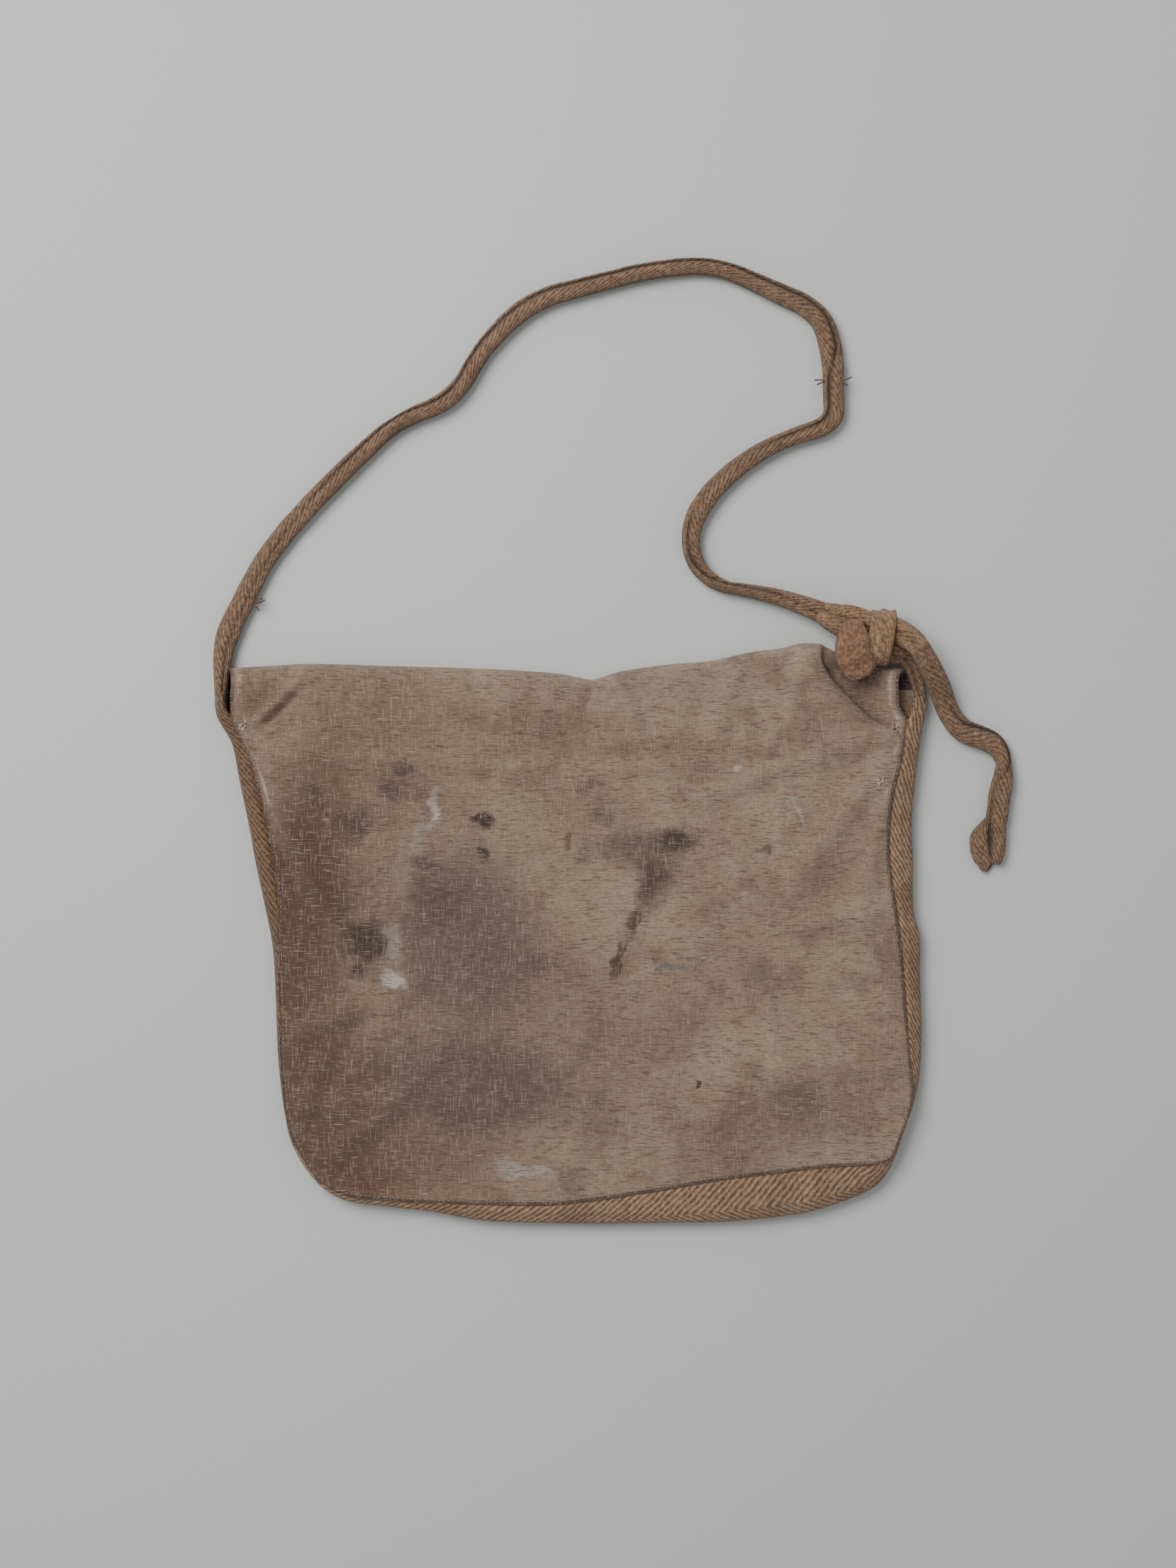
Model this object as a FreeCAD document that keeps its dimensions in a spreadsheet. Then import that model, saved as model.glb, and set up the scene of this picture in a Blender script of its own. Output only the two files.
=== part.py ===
# Cloth shoulder bag lying flat on its flap side, used as a rope bag.
#
# X runs across the bag, +Y towards the shoulder strap, +Z up from the floor.
# The origin is at the centre of the bag on the floor.  All lengths are in mm.
#
# One woven tape is both the gusset (left, bottom, right) and the shoulder strap, whose two ends
# are tied in a knot.  One cloth makes the back panel, rolls over the top edge and runs on under
# the bag as the flap.  The front panel lies between that flap and the inside of the bag.
import FreeCAD
import Part
import Sketcher
import math
import os

doc = FreeCAD.newDocument("cloth_bag")

# ---------------------------------------------------------------- driving dimensions
sizes = doc.addObject("Spreadsheet::Sheet", "Sizes")

DIMENSIONS = [
    ("bag_height", 16.0, "floor to the upper face of the back panel, bag lying empty"),
    ("front_height", 1.6, "floor to the under face of the front panel and gusset"),
    ("cloth", 1.0, "thickness of the bag cloth with its creases"),
    ("tape", 1.3, "thickness of the woven tape"),
    ("tape_width", 40.0, "width of the woven tape"),
    ("seam_gap", 0.4, "gap between a panel's edge and the tape beside it"),
    ("left_mouth_x", -213.0, "outer edge at the left mouth corner"),
    ("left_mouth_y", 131.5, "upper end of the gusset at the left"),
    ("left_mouth_show", 13.0, "tape seen beside the back panel, left mouth corner"),
    ("left_waist_x", -178.5, "outer edge half way down the left side"),
    ("left_waist_y", 2.0, "height of that place"),
    ("left_waist_show", 4.5, "tape seen there"),
    ("left_corner_x", -170.5, "outer edge at the lower left corner"),
    ("left_corner_y", -159.0, "height of that corner"),
    ("left_corner_show", 1.8, "tape seen there"),
    ("bottom_left_x", -45.0, "place where the bottom edge turns level"),
    ("bottom_left_y", -168.7, "bottom edge there"),
    ("bottom_left_show", 11.5, "tape seen there"),
    ("bottom_right_x", 120.0, "place where the bottom edge starts to rise"),
    ("bottom_right_y", -168.7, "bottom edge there"),
    ("bottom_right_show", 22.0, "tape seen there"),
    ("right_corner_x", 194.0, "outer edge at the lower right corner"),
    ("right_corner_y", -151.0, "height of that corner"),
    ("right_corner_show", 17.0, "tape seen there"),
    ("right_hip_x", 210.5, "outer edge low on the right side"),
    ("right_hip_y", -50.0, "height of that place"),
    ("right_hip_show", 8.0, "tape seen there"),
    ("right_waist_x", 205.3, "outer edge high on the right side"),
    ("right_waist_y", 45.0, "height of that place"),
    ("right_waist_show", 13.5, "tape seen there"),
    ("right_mouth_x", 213.0, "outer edge at the right mouth corner"),
    ("right_mouth_y", 131.5, "upper end of the gusset at the right"),
    ("right_mouth_show", 12.0, "tape seen there"),
    ("left_corner_round", 38.0, "radius of the lower left corner"),
    ("right_corner_round", 30.0, "radius of the lower right corner"),
    ("gentle_round", 150.0, "radius of the slight bends of the outline"),
    ("top_fold_y", 168.7, "outermost line of the roll at the top edge"),
    ("fold_left_x", -201.8, "left hem edge at the top fold"),
    ("fold_right_x", 197.0, "right hem edge at the top fold"),
    ("fold_lip", 9.0, "flat strip of the back panel under the roll, up to the hinge line"),
    ("flap_length", 141.0, "flap from its hinge line to its free hem"),
    ("flap_taper_left", 28.0, "the flap's left side is drawn in this much at its free hem"),
    ("flap_taper_right", 8.0, "its right side is drawn in this much there"),
    ("flap_round", 25.0, "radius of the flap's free corners"),
    ("hinge_gap", 0.8, "gap between the roll and the flap at their hinge line"),
    ("thread", 0.4, "height of a line of stitches above the cloth"),
    ("thread_width", 0.9, "width of a line of stitches"),
    ("seam_inset", 2.2, "stitches from the edge of the panel"),
    ("hem_width", 10.5, "width of the turned hem at the sides of the flap and its cloth"),
    ("hem_end_width", 14.0, "width of the hem at the flap's end and the front panel's mouth"),
    ("strap_diameter", 12.0, "strap, the tape folded lengthwise in three"),
    ("leg_diameter", 10.0, "strap between the knot and the right corner"),
    ("tail_diameter", 11.0, "free tail of the tape"),
    ("knot_entry_x", 152.0, "knot, face where the strap enters"),
    ("knot_entry_y", 197.0, "the same face"),
    ("knot_turn", -25.0, "direction of the knot's axis, degrees from +X"),
    ("knot_height", 12.5, "knot's axis above the floor"),
    ("knot_entry_length", 20.0, "length of the widening entry"),
    ("knot_entry_radius", 10.5, "its radius at the wrap"),
    ("knot_wrap_length", 14.0, "length of the turn of tape round the knot"),
    ("knot_wrap_radius", 12.0, "radius of that turn"),
    ("knot_exit_length", 12.0, "length of the narrowing exit"),
    ("knot_exit_radius", 8.0, "its radius where the leg leaves"),
    ("stub_length", 27.0, "frayed end of the tape beyond the knot"),
    ("stub_radius", 7.5, "radius of the frayed end"),
    ("stub_neck", 5.0, "radius where it leaves the knot"),
    ("tail_end_width", 21.0, "turned-over end of the tail"),
    ("tail_end_length", 28.0, "length of that end"),
    ("tail_end_thickness", 9.0, "thickness of that end"),
    ("tack_length", 7.0, "corner tack, length of one stitch"),
    ("tack_width", 1.2, "corner tack, width of one stitch"),
]

for row, (alias, value, words) in enumerate(DIMENSIONS, start=1):
    sizes.set("A%d" % row, words)
    sizes.set("B%d" % row, str(value))
    sizes.setAlias("B%d" % row, alias)
doc.recompute()


def size(alias):
    return float(sizes.get(alias))


def cell(alias):
    return "Sizes." + alias


# ---------------------------------------------------------------- outlines
# The bag's outline has nine corners.  A panel's or window's outline has the same corners, moved
# inwards by its own inset along each corner's direction.
CORNERS = [
    ("left_mouth", 1, 0),
    ("left_waist", 1, 0),
    ("left_corner", 0.7, 0.7),
    ("bottom_left", 0, 1),
    ("bottom_right", 0, 1),
    ("right_corner", 0, 1),
    ("right_hip", -1, 0),
    ("right_waist", -1, 0),
    ("right_mouth", -1, 0),
]
GENTLE = ["left_waist", "bottom_left", "bottom_right", "right_hip", "right_waist"]


def no_inset(name):
    return 0.0, "0"


def back_inset(extra, extra_words):
    def inset(name):
        return size(name + "_show") + extra, "%s + %s" % (cell(name + "_show"), extra_words)
    return inset


def front_inset(extra, extra_words):
    # What the wall and the upper leg leave of the tape's width lies under the bag.
    def inset(name):
        left = size("tape_width") - size("bag_height") + size("front_height")
        words = "%s - %s + %s - %s + %s" % (
            cell("tape_width"), cell("bag_height"), cell("front_height"),
            cell(name + "_show"), extra_words)
        return left - size(name + "_show") + extra, words
    return inset


def outline(inset, mouth_rise=0.0):
    """Corners as (name, x, y, x expression, y expression)."""
    corners = []
    for name, inward_x, inward_y in CORNERS:
        amount, words = inset(name)
        rise = mouth_rise if name.endswith("mouth") else 0.0
        x = size(name + "_x") + inward_x * amount
        y = size(name + "_y") + inward_y * amount + rise
        x_words = "%s + %s * (%s)" % (cell(name + "_x"), inward_x, words)
        y_words = "%s + %s * (%s) + %s" % (cell(name + "_y"), inward_y, words, rise)
        corners.append((name, x, y, x_words, y_words))
    return corners


def origin_plane(body, role):
    for feature in body.Origin.OriginFeatures:
        if feature.Role == role:
            return feature
    raise ValueError("no plane " + role)


def add_sketch(body, name, role, offset_words):
    sketch = body.newObject("Sketcher::SketchObject", name)
    sketch.AttachmentSupport = (origin_plane(body, role), [""])
    sketch.MapMode = "FlatFace"
    sketch.setExpression("AttachmentOffset.Base.z", offset_words)
    return sketch


def fix_point(sketch, line, x, y, x_words, y_words):
    """Ties the start of a line to the sketch's origin in both directions."""
    for kind, value, words in (("DistanceX", x, x_words), ("DistanceY", y, y_words)):
        index = sketch.addConstraint(Sketcher.Constraint(kind, -1, 1, line, 1, value))
        sketch.renameConstraint(index, "%s_%d" % (kind, line))
        sketch.setExpression("Constraints.%s_%d" % (kind, line), words)


def polygon_sketch(body, name, corners, height_words):
    sketch = add_sketch(body, name + "_outline", "XY_Plane", height_words)
    count = len(corners)
    for i in range(count):
        start = FreeCAD.Vector(corners[i][1], corners[i][2], 0)
        end = FreeCAD.Vector(corners[(i + 1) % count][1], corners[(i + 1) % count][2], 0)
        sketch.addGeometry(Part.LineSegment(start, end), False)
    for i in range(count):
        sketch.addConstraint(Sketcher.Constraint("Coincident", i, 2, (i + 1) % count, 1))
    for i in range(count):
        fix_point(sketch, i, *corners[i][1:])
    return sketch


def upright_edges(shape, places):
    """Names of the edges that stand on the given places."""
    names = []
    for number, edge in enumerate(shape.Edges, start=1):
        box = edge.BoundBox
        if box.XLength > 0.01 or box.YLength > 0.01:
            continue
        for x, y in places:
            if abs(box.XMin - x) < 0.05 and abs(box.YMin - y) < 0.05:
                names.append("Edge%d" % number)
    return names


def round_corners(body, corners, wanted, radius):
    places = [(c[1], c[2]) for c in corners if c[0] in wanted]
    base = body.Tip
    names = upright_edges(base.Shape, places)
    if len(names) != len(places):
        raise ValueError("%s: %d edges for %d corners" % (body.Label, len(names), len(places)))
    fillet = body.newObject("PartDesign::Fillet", "%s_%s" % (body.Label, radius))
    fillet.Base = (base, names)
    fillet.setExpression("Radius", cell(radius))
    body.Tip = fillet
    doc.recompute()


def sheet_body(label, corners, height_words, thickness_words):
    """A flat piece: the outline padded upwards, with its corners rounded."""
    body = doc.addObject("PartDesign::Body", label)
    sketch = polygon_sketch(body, label, corners, height_words)
    pad = body.newObject("PartDesign::Pad", label + "_pad")
    pad.Profile = sketch
    pad.setExpression("Length", thickness_words)
    body.Tip = pad
    doc.recompute()
    return body


def bag_sheet(label, corners, height_words, thickness_words):
    """A sheet with the bag's own outline."""
    body = sheet_body(label, corners, height_words, thickness_words)
    round_corners(body, corners, ["left_corner"], "left_corner_round")
    round_corners(body, corners, ["right_corner"], "right_corner_round")
    round_corners(body, corners, GENTLE, "gentle_round")
    return body


def cut(label, base, tools):
    result = base
    for number, tool in enumerate(tools, start=1):
        step = doc.addObject("Part::Cut", "%s_cut_%d" % (label, number))
        step.Base = result
        step.Tool = tool
        result = step
    doc.recompute()
    return result


def box(label, corner_words, size_words):
    """A Part::Box whose corner and sides are expressions."""
    block = doc.addObject("Part::Box", label)
    for axis, words in zip("xyz", corner_words):
        block.setExpression("Placement.Base." + axis, words)
    for side, words in zip(("Length", "Width", "Height"), size_words):
        block.setExpression(side, words)
    return block


def common(label, base, tool):
    piece = doc.addObject("Part::Common", label)
    piece.Base = base
    piece.Tool = tool
    piece.Label = label
    return piece


# The tape and its seams are divided where the outline has turned round the two lower corners.
# Bodies that share a base are cut out of it by these three boxes.
REGIONS = {
    "left": box(
        "left_region",
        (cell("left_mouth_x") + " - 10", cell("left_corner_y") + " + " + cell("left_corner_round"),
         "-10"),
        ("-" + cell("left_mouth_x"), cell("left_mouth_y") + " - " + cell("left_corner_y") + " + 20",
         cell("bag_height") + " + 20")),
    "right": box(
        "right_region",
        ("20", cell("right_corner_y") + " + " + cell("right_corner_round"), "-10"),
        (cell("right_mouth_x") + " + 10",
         cell("right_mouth_y") + " - " + cell("right_corner_y") + " + 20",
         cell("bag_height") + " + 20")),
}
LOWER = cut(
    "lower",
    box("lower_block",
        (cell("left_mouth_x") + " - 10", cell("bottom_left_y") + " - 10", "-10"),
        (cell("right_mouth_x") + " - " + cell("left_mouth_x") + " + 20",
         cell("right_corner_y") + " + " + cell("right_corner_round") + " - " + cell("bottom_left_y")
         + " + 40",
         cell("bag_height") + " + 20")),
    [REGIONS["left"], REGIONS["right"]])
REGIONS["bottom"] = LOWER
PLACES = ("left", "bottom", "right")

nodes = []

# ---------------------------------------------------------------- gusset, the tape round the bag
OPEN_END = 2.0
outer = outline(no_inset)
channel = bag_sheet("channel", outer, cell("front_height"),
                    cell("bag_height") + " - " + cell("front_height"))
inside = bag_sheet(
    "inside",
    outline(lambda name: (size("tape"), cell("tape")), OPEN_END),
    cell("front_height") + " + " + cell("tape"),
    cell("bag_height") + " - " + cell("front_height") + " - 2 * " + cell("tape"))
gap = -size("seam_gap")
gap_words = "(-" + cell("seam_gap") + ")"
back_window = bag_sheet(
    "back_window", outline(back_inset(gap, gap_words), OPEN_END),
    cell("bag_height") + " - 2 * " + cell("tape"), "4 * " + cell("tape"))
front_window = bag_sheet(
    "front_window", outline(front_inset(gap, gap_words), OPEN_END),
    cell("front_height") + " - " + cell("tape"), "3 * " + cell("tape"))
tape_frame = cut("gusset", channel, [inside, back_window, front_window])
for place in PLACES:
    nodes.append(common("gusset_" + place, tape_frame, REGIONS[place]))

# ---------------------------------------------------------------- panels
front_panel = bag_sheet("front_panel", outline(front_inset(0, "0")), cell("front_height"),
                        cell("cloth"))
nodes.append(front_panel)

# The back panel runs on above its seams to the middle of the roll.
ROLL_RADIUS = "(%s / 2)" % cell("bag_height")
ROLL_Y = "(%s - %s)" % (cell("top_fold_y"), ROLL_RADIUS)
roll_y = size("top_fold_y") - size("bag_height") / 2
hem_corners = [
    ("fold_right", size("fold_right_x"), roll_y, cell("fold_right_x"), ROLL_Y),
    ("fold_left", size("fold_left_x"), roll_y, cell("fold_left_x"), ROLL_Y),
]
back_panel = bag_sheet(
    "back_panel", outline(back_inset(0, "0")) + hem_corners,
    cell("bag_height") + " - " + cell("cloth"), cell("cloth"))

# The roll is half a tube, drawn looking along the hinge line: sketch x is the bag's Y, sketch y
# is its Z.
roll_sketch = add_sketch(back_panel, "roll_section", "YZ_Plane", cell("fold_left_x"))
centre = FreeCAD.Vector(roll_y, size("bag_height") / 2, 0)
radii = (size("bag_height") / 2, size("bag_height") / 2 - size("cloth"))
for radius in radii:
    circle = Part.Circle(centre, FreeCAD.Vector(0, 0, 1), radius)
    roll_sketch.addGeometry(Part.ArcOfCircle(circle, -math.pi / 2, math.pi / 2), False)
for side in (1, -1):
    ends = [centre + FreeCAD.Vector(0, side * radius, 0) for radius in radii]
    roll_sketch.addGeometry(Part.LineSegment(*ends), False)
roll_sketch.addConstraint(Sketcher.Constraint("Coincident", 0, 3, 1, 3))
for arc in (0, 1):
    line_end = arc + 1
    roll_sketch.addConstraint(Sketcher.Constraint("Coincident", arc, 2, 2, line_end))
    roll_sketch.addConstraint(Sketcher.Constraint("Coincident", arc, 1, 3, line_end))
roll_sketch.addConstraint(Sketcher.Constraint("Vertical", 2))
roll_sketch.addConstraint(Sketcher.Constraint("Vertical", 3))
for kind, value, words in (("DistanceX", centre.x, ROLL_Y), ("DistanceY", centre.y, ROLL_RADIUS)):
    index = roll_sketch.addConstraint(Sketcher.Constraint(kind, -1, 1, 0, 3, value))
    roll_sketch.renameConstraint(index, "roll_" + kind)
    roll_sketch.setExpression("Constraints.roll_" + kind, words)
for arc, words in ((0, ROLL_RADIUS), (1, ROLL_RADIUS + " - " + cell("cloth"))):
    index = roll_sketch.addConstraint(Sketcher.Constraint("Radius", arc, radii[arc]))
    roll_sketch.renameConstraint(index, "roll_radius_%d" % arc)
    roll_sketch.setExpression("Constraints.roll_radius_%d" % arc, words)
roll = back_panel.newObject("PartDesign::Pad", "roll")
roll.Profile = roll_sketch
roll.setExpression("Length", cell("fold_right_x") + " - " + cell("fold_left_x"))
back_panel.Tip = roll
doc.recompute()

# Under the bag the roll runs on flat as far as the hinge line.
HINGE_Y = "(%s - %s)" % (ROLL_Y, cell("fold_lip"))
hinge_y = roll_y - size("fold_lip")
lip_corners = [
    ("lip_right", size("fold_right_x"), roll_y, cell("fold_right_x"), ROLL_Y),
    ("lip_left", size("fold_left_x"), roll_y, cell("fold_left_x"), ROLL_Y),
    ("hinge_left", size("fold_left_x"), hinge_y, cell("fold_left_x"), HINGE_Y),
    ("hinge_right", size("fold_right_x"), hinge_y, cell("fold_right_x"), HINGE_Y),
]
lip_sketch = polygon_sketch(back_panel, "lip", lip_corners, "0")
lip = back_panel.newObject("PartDesign::Pad", "lip")
lip.Profile = lip_sketch
lip.setExpression("Length", cell("cloth"))
back_panel.Tip = lip
doc.recompute()
nodes.append(back_panel)

# The flap lies on the floor under the bag, from its hinge line to its free hem.
FLAP_TOP = "(%s - %s)" % (HINGE_Y, cell("hinge_gap"))
FLAP_END = "(%s - %s)" % (HINGE_Y, cell("flap_length"))
flap_top = hinge_y - size("hinge_gap")
flap_end = hinge_y - size("flap_length")
flap_left = size("fold_left_x")
flap_right = size("fold_right_x")
flap_corners = [
    ("top_left", flap_left, flap_top, cell("fold_left_x"), FLAP_TOP),
    ("end_left", flap_left + size("flap_taper_left"), flap_end,
     cell("fold_left_x") + " + " + cell("flap_taper_left"), FLAP_END),
    ("end_right", flap_right - size("flap_taper_right"), flap_end,
     cell("fold_right_x") + " - " + cell("flap_taper_right"), FLAP_END),
    ("top_right", flap_right, flap_top, cell("fold_right_x"), FLAP_TOP),
]
flap = sheet_body("flap", flap_corners, "0", cell("cloth"))
round_corners(flap, flap_corners, ["end_left", "end_right"], "flap_round")
nodes.append(flap)

# ---------------------------------------------------------------- seams
def seam_band(label, inset_maker, height_words):
    """A flat line of stitches that follows the bag's outline inside a panel's edge."""
    near = size("seam_inset")
    near_words = cell("seam_inset")
    far = near + size("thread_width")
    far_words = "%s + %s" % (near_words, cell("thread_width"))
    whole = bag_sheet(label + "_whole", outline(inset_maker(near, near_words)),
                      height_words, cell("thread"))
    core = bag_sheet(label + "_core", outline(inset_maker(far, far_words), OPEN_END),
                     height_words + " - 1", cell("thread") + " + 2")
    return cut(label, whole, [core])


back_seam = seam_band("back_seam", back_inset, cell("bag_height"))
front_seam = seam_band("front_seam", front_inset, cell("front_height") + " - " + cell("thread"))
for place in PLACES:
    nodes.append(common("back_seam_" + place, back_seam, REGIONS[place]))
    nodes.append(common("front_seam_" + place, front_seam, REGIONS[place]))


def straight_stitches(label, corner_words, length_words, along):
    """A straight line of stitches along X or Y."""
    width = cell("thread_width")
    sides = (length_words, width) if along == "X" else (width, length_words)
    line = box(label, corner_words, sides + (cell("thread"),))
    line.Label = label
    nodes.append(line)


BACK_TOP = cell("bag_height")
SEAM_END = "(%s + 4)" % cell("left_mouth_y")
HEM_RUN = "%s - %s" % (ROLL_Y, SEAM_END)
straight_stitches(
    "hem_stitch_left",
    ("%s + %s" % (cell("fold_left_x"), cell("hem_width")), SEAM_END, BACK_TOP), HEM_RUN, "Y")
straight_stitches(
    "hem_stitch_right",
    ("%s - %s" % (cell("fold_right_x"), cell("hem_width")), SEAM_END, BACK_TOP), HEM_RUN, "Y")
# On the flap the stitches stand on its upper face, beside the front panel's own.
FLAP_RUN = "%s - 2 * %s" % (cell("flap_length"), cell("flap_round"))
FLAP_RUN_START = "%s + %s" % (FLAP_END, cell("flap_round"))
straight_stitches(
    "flap_stitch_left",
    ("%s + %s + %s" % (cell("fold_left_x"), cell("flap_taper_left"), cell("hem_width")),
     FLAP_RUN_START, cell("cloth")), FLAP_RUN, "Y")
straight_stitches(
    "flap_stitch_right",
    ("%s - %s - %s" % (cell("fold_right_x"), cell("flap_taper_right"), cell("hem_width")),
     FLAP_RUN_START, cell("cloth")), FLAP_RUN, "Y")
straight_stitches(
    "flap_stitch_end",
    ("%s + %s + %s" % (cell("fold_left_x"), cell("flap_taper_left"), cell("flap_round")),
     "%s + %s" % (FLAP_END, cell("hem_end_width")), cell("cloth")),
    "%s - %s - %s - %s - 2 * %s" % (
        cell("fold_right_x"), cell("fold_left_x"), cell("flap_taper_left"),
        cell("flap_taper_right"), cell("flap_round")), "X")
# The mouth hem of the front panel is sewn on its inner face.
MOUTH_REST = "(%s - %s + %s)" % (cell("tape_width"), cell("bag_height"), cell("front_height"))
straight_stitches(
    "mouth_stitch",
    ("%s + %s - %s + 8" % (cell("left_mouth_x"), MOUTH_REST, cell("left_mouth_show")),
     "%s - %s" % (cell("left_mouth_y"), cell("hem_end_width")),
     "%s + %s" % (cell("front_height"), cell("cloth"))),
    "%s - %s - 2 * %s + %s + %s - 16" % (
        cell("right_mouth_x"), cell("left_mouth_x"), MOUTH_REST,
        cell("left_mouth_show"), cell("right_mouth_show")), "X")


def crossed_stitches(label, x_words, y_words, angles):
    """Hand stitches that cross each other on the back panel."""
    strokes = []
    for number, angle in enumerate(angles):
        stroke = doc.addObject("Part::Box", "%s_stroke_%d" % (label, number))
        stroke.setExpression("Length", cell("tack_length"))
        stroke.setExpression("Width", cell("tack_width"))
        stroke.setExpression("Height", cell("thread") + " * 2")
        turn = math.radians(angle)
        # The stroke's middle is put on the crossing point.
        along = "%s / 2" % cell("tack_length")
        across = "%s / 2" % cell("tack_width")
        stroke.Placement = FreeCAD.Placement(
            FreeCAD.Vector(), FreeCAD.Rotation(FreeCAD.Vector(0, 0, 1), angle))
        stroke.setExpression("Placement.Base.x", "%s - (%s) * %.6f + (%s) * %.6f" % (
            x_words, along, math.cos(turn), across, math.sin(turn)))
        stroke.setExpression("Placement.Base.y", "%s - (%s) * %.6f - (%s) * %.6f" % (
            y_words, along, math.sin(turn), across, math.cos(turn)))
        stroke.setExpression("Placement.Base.z", BACK_TOP)
        strokes.append(stroke)
    fuse = doc.addObject("Part::MultiFuse", label)
    fuse.Shapes = strokes
    fuse.Label = label
    nodes.append(fuse)


TACK_INSET = "(%s * 0.7)" % cell("tack_length")
crossed_stitches(
    "corner_tack_left",
    "%s + %s + %s" % (cell("left_mouth_x"), cell("left_mouth_show"), TACK_INSET),
    "(%s + 0.5)" % cell("left_mouth_y"), (35, 95, 150))
crossed_stitches(
    "corner_tack_right",
    "%s - %s - %s" % (cell("right_mouth_x"), cell("right_mouth_show"), TACK_INSET),
    "(%s + 0.5)" % cell("right_mouth_y"), (25, 85, 145))
crossed_stitches(
    "mend_stitch_right",
    "%s - %s - %s - %s" % (cell("right_waist_x"), cell("right_waist_show"), TACK_INSET,
                           cell("seam_inset")),
    "(%s + 52)" % cell("right_waist_y"), (10, 50, 170))

# ---------------------------------------------------------------- cords
# Each route is a list of points in mm: x, y and the height of the cord's under side above the
# floor.  The tube follows its straight runs and tangent arcs.
knot_way = math.radians(size("knot_turn"))
knot_length = size("knot_entry_length") + size("knot_wrap_length") + size("knot_exit_length")
exit_x = size("knot_entry_x") + knot_length * math.cos(knot_way)
exit_y = size("knot_entry_y") + knot_length * math.sin(knot_way)

STRAP_ROUTE = [
    (-209.5, 138.5, 2.0), (-210.5, 158.0, 0.8), (-208.5, 181.0, 0.3), (-198.0, 203.0, 0.3),
    (-184.0, 231.0, 0.3), (-160.0, 260.0, 0.3), (-131.0, 289.0, 0.3), (-104.0, 314.0, 0.3),
    (-70.0, 326.0, 0.3), (-53.0, 358.0, 0.3), (-24.0, 386.0, 0.3), (14.0, 396.0, 0.3),
    (50.0, 405.0, 0.3), (87.0, 408.0, 0.3), (120.0, 393.0, 0.3), (151.0, 379.0, 0.3),
    (158.0, 353.0, 0.3), (158.5, 330.0, 0.3), (159.0, 311.0, 0.3), (129.0, 303.0, 0.3),
    (98.0, 285.0, 0.3), (74.0, 258.0, 0.3), (71.5, 232.0, 0.3), (86.0, 214.5, 0.3),
    (112.0, 210.5, 0.3), (134.0, 205.0, 2.5),
    (size("knot_entry_x"), size("knot_entry_y"), size("knot_height") - size("strap_diameter") / 2),
]
LEG_ROUTE = [
    (exit_x, exit_y, size("knot_height") - 2 - size("leg_diameter") / 2), (203.5, 170.5, 2.0),
    (208.5, 159.0, 0.6), (211.0, 148.0, 1.0), (212.5, 138.8, 3.0),
]
TAIL_ROUTE = [
    (206.5, 178.0, 16.0), (213.5, 167.5, 13.5), (221.0, 154.0, 7.0), (226.5, 140.0, 1.1),
    (234.5, 127.5, 0.3), (246.0, 123.5, 0.3), (256.5, 119.0, 0.3), (261.5, 109.0, 0.3),
    (260.5, 96.0, 0.3), (257.5, 84.0, 0.3), (256.8, 71.0, 0.3),
]
ARC_SHARE = 0.45


def tube(label, route, diameter):
    """Sweeps a round section along straight runs joined by the largest tangent arcs."""
    points = [FreeCAD.Vector(x, y, under + diameter / 2) for x, y, under in route]
    edges = []
    radii_used = []
    start = points[0]
    for before, corner, after in zip(points, points[1:], points[2:]):
        into = (before - corner).normalize()
        out = (after - corner).normalize()
        reach = ARC_SHARE * min((corner - before).Length, (after - corner).Length)
        turn = math.pi - into.getAngle(out)
        radius = reach / math.tan(turn / 2)
        radii_used.append(radius)
        first = corner + into * reach
        last = corner + out * reach
        middle_way = (into + out).normalize()
        to_centre = math.hypot(radius, reach)
        middle = corner + middle_way * (to_centre - radius)
        edges.append(Part.LineSegment(start, first).toShape())
        edges.append(Part.Arc(first, middle, last).toShape())
        start = last
    edges.append(Part.LineSegment(start, points[-1]).toShape())
    path = Part.Wire(edges)
    facing = (points[1] - points[0]).normalize()
    ring = Part.Wire([Part.makeCircle(diameter / 2, points[0], facing)])
    solid = path.makePipeShell([ring], True, False)
    piece = doc.addObject("Part::Feature", label)
    piece.Shape = solid
    piece.Placement = FreeCAD.Placement()
    piece.Label = label
    nodes.append(piece)
    exact = math.pi * diameter ** 2 / 4 * path.Length
    print("%s: length %.1f, volume %.0f of %.0f, radii %s" % (
        label, path.Length, solid.Volume, exact, " ".join("%.0f" % r for r in radii_used)))
    return path.Length


tube("strap_loop", STRAP_ROUTE, size("strap_diameter"))
tube("strap_right_leg", LEG_ROUTE, size("leg_diameter"))
tube("strap_tail", TAIL_ROUTE, size("tail_diameter"))

# ---------------------------------------------------------------- knot
# Three pieces in line along the knot's axis: the widening entry, the turn of tape round it and
# the narrowing exit.
KNOT_COS = "cos(%s * 1 deg)" % cell("knot_turn")
KNOT_SIN = "sin(%s * 1 deg)" % cell("knot_turn")


def on_knot_axis(piece, distance_words):
    """Lays a cone or cylinder along the knot's axis, starting this far from the entry face."""
    turn = FreeCAD.Rotation(FreeCAD.Vector(0, 0, 1), size("knot_turn"))
    lay = FreeCAD.Rotation(FreeCAD.Vector(0, 1, 0), 90)
    piece.Placement = FreeCAD.Placement(FreeCAD.Vector(), turn.multiply(lay))
    piece.setExpression("Placement.Base.x", "%s + (%s) * %s" % (
        cell("knot_entry_x"), distance_words, KNOT_COS))
    piece.setExpression("Placement.Base.y", "%s + (%s) * %s" % (
        cell("knot_entry_y"), distance_words, KNOT_SIN))
    piece.setExpression("Placement.Base.z", cell("knot_height"))
    nodes.append(piece)


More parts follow.
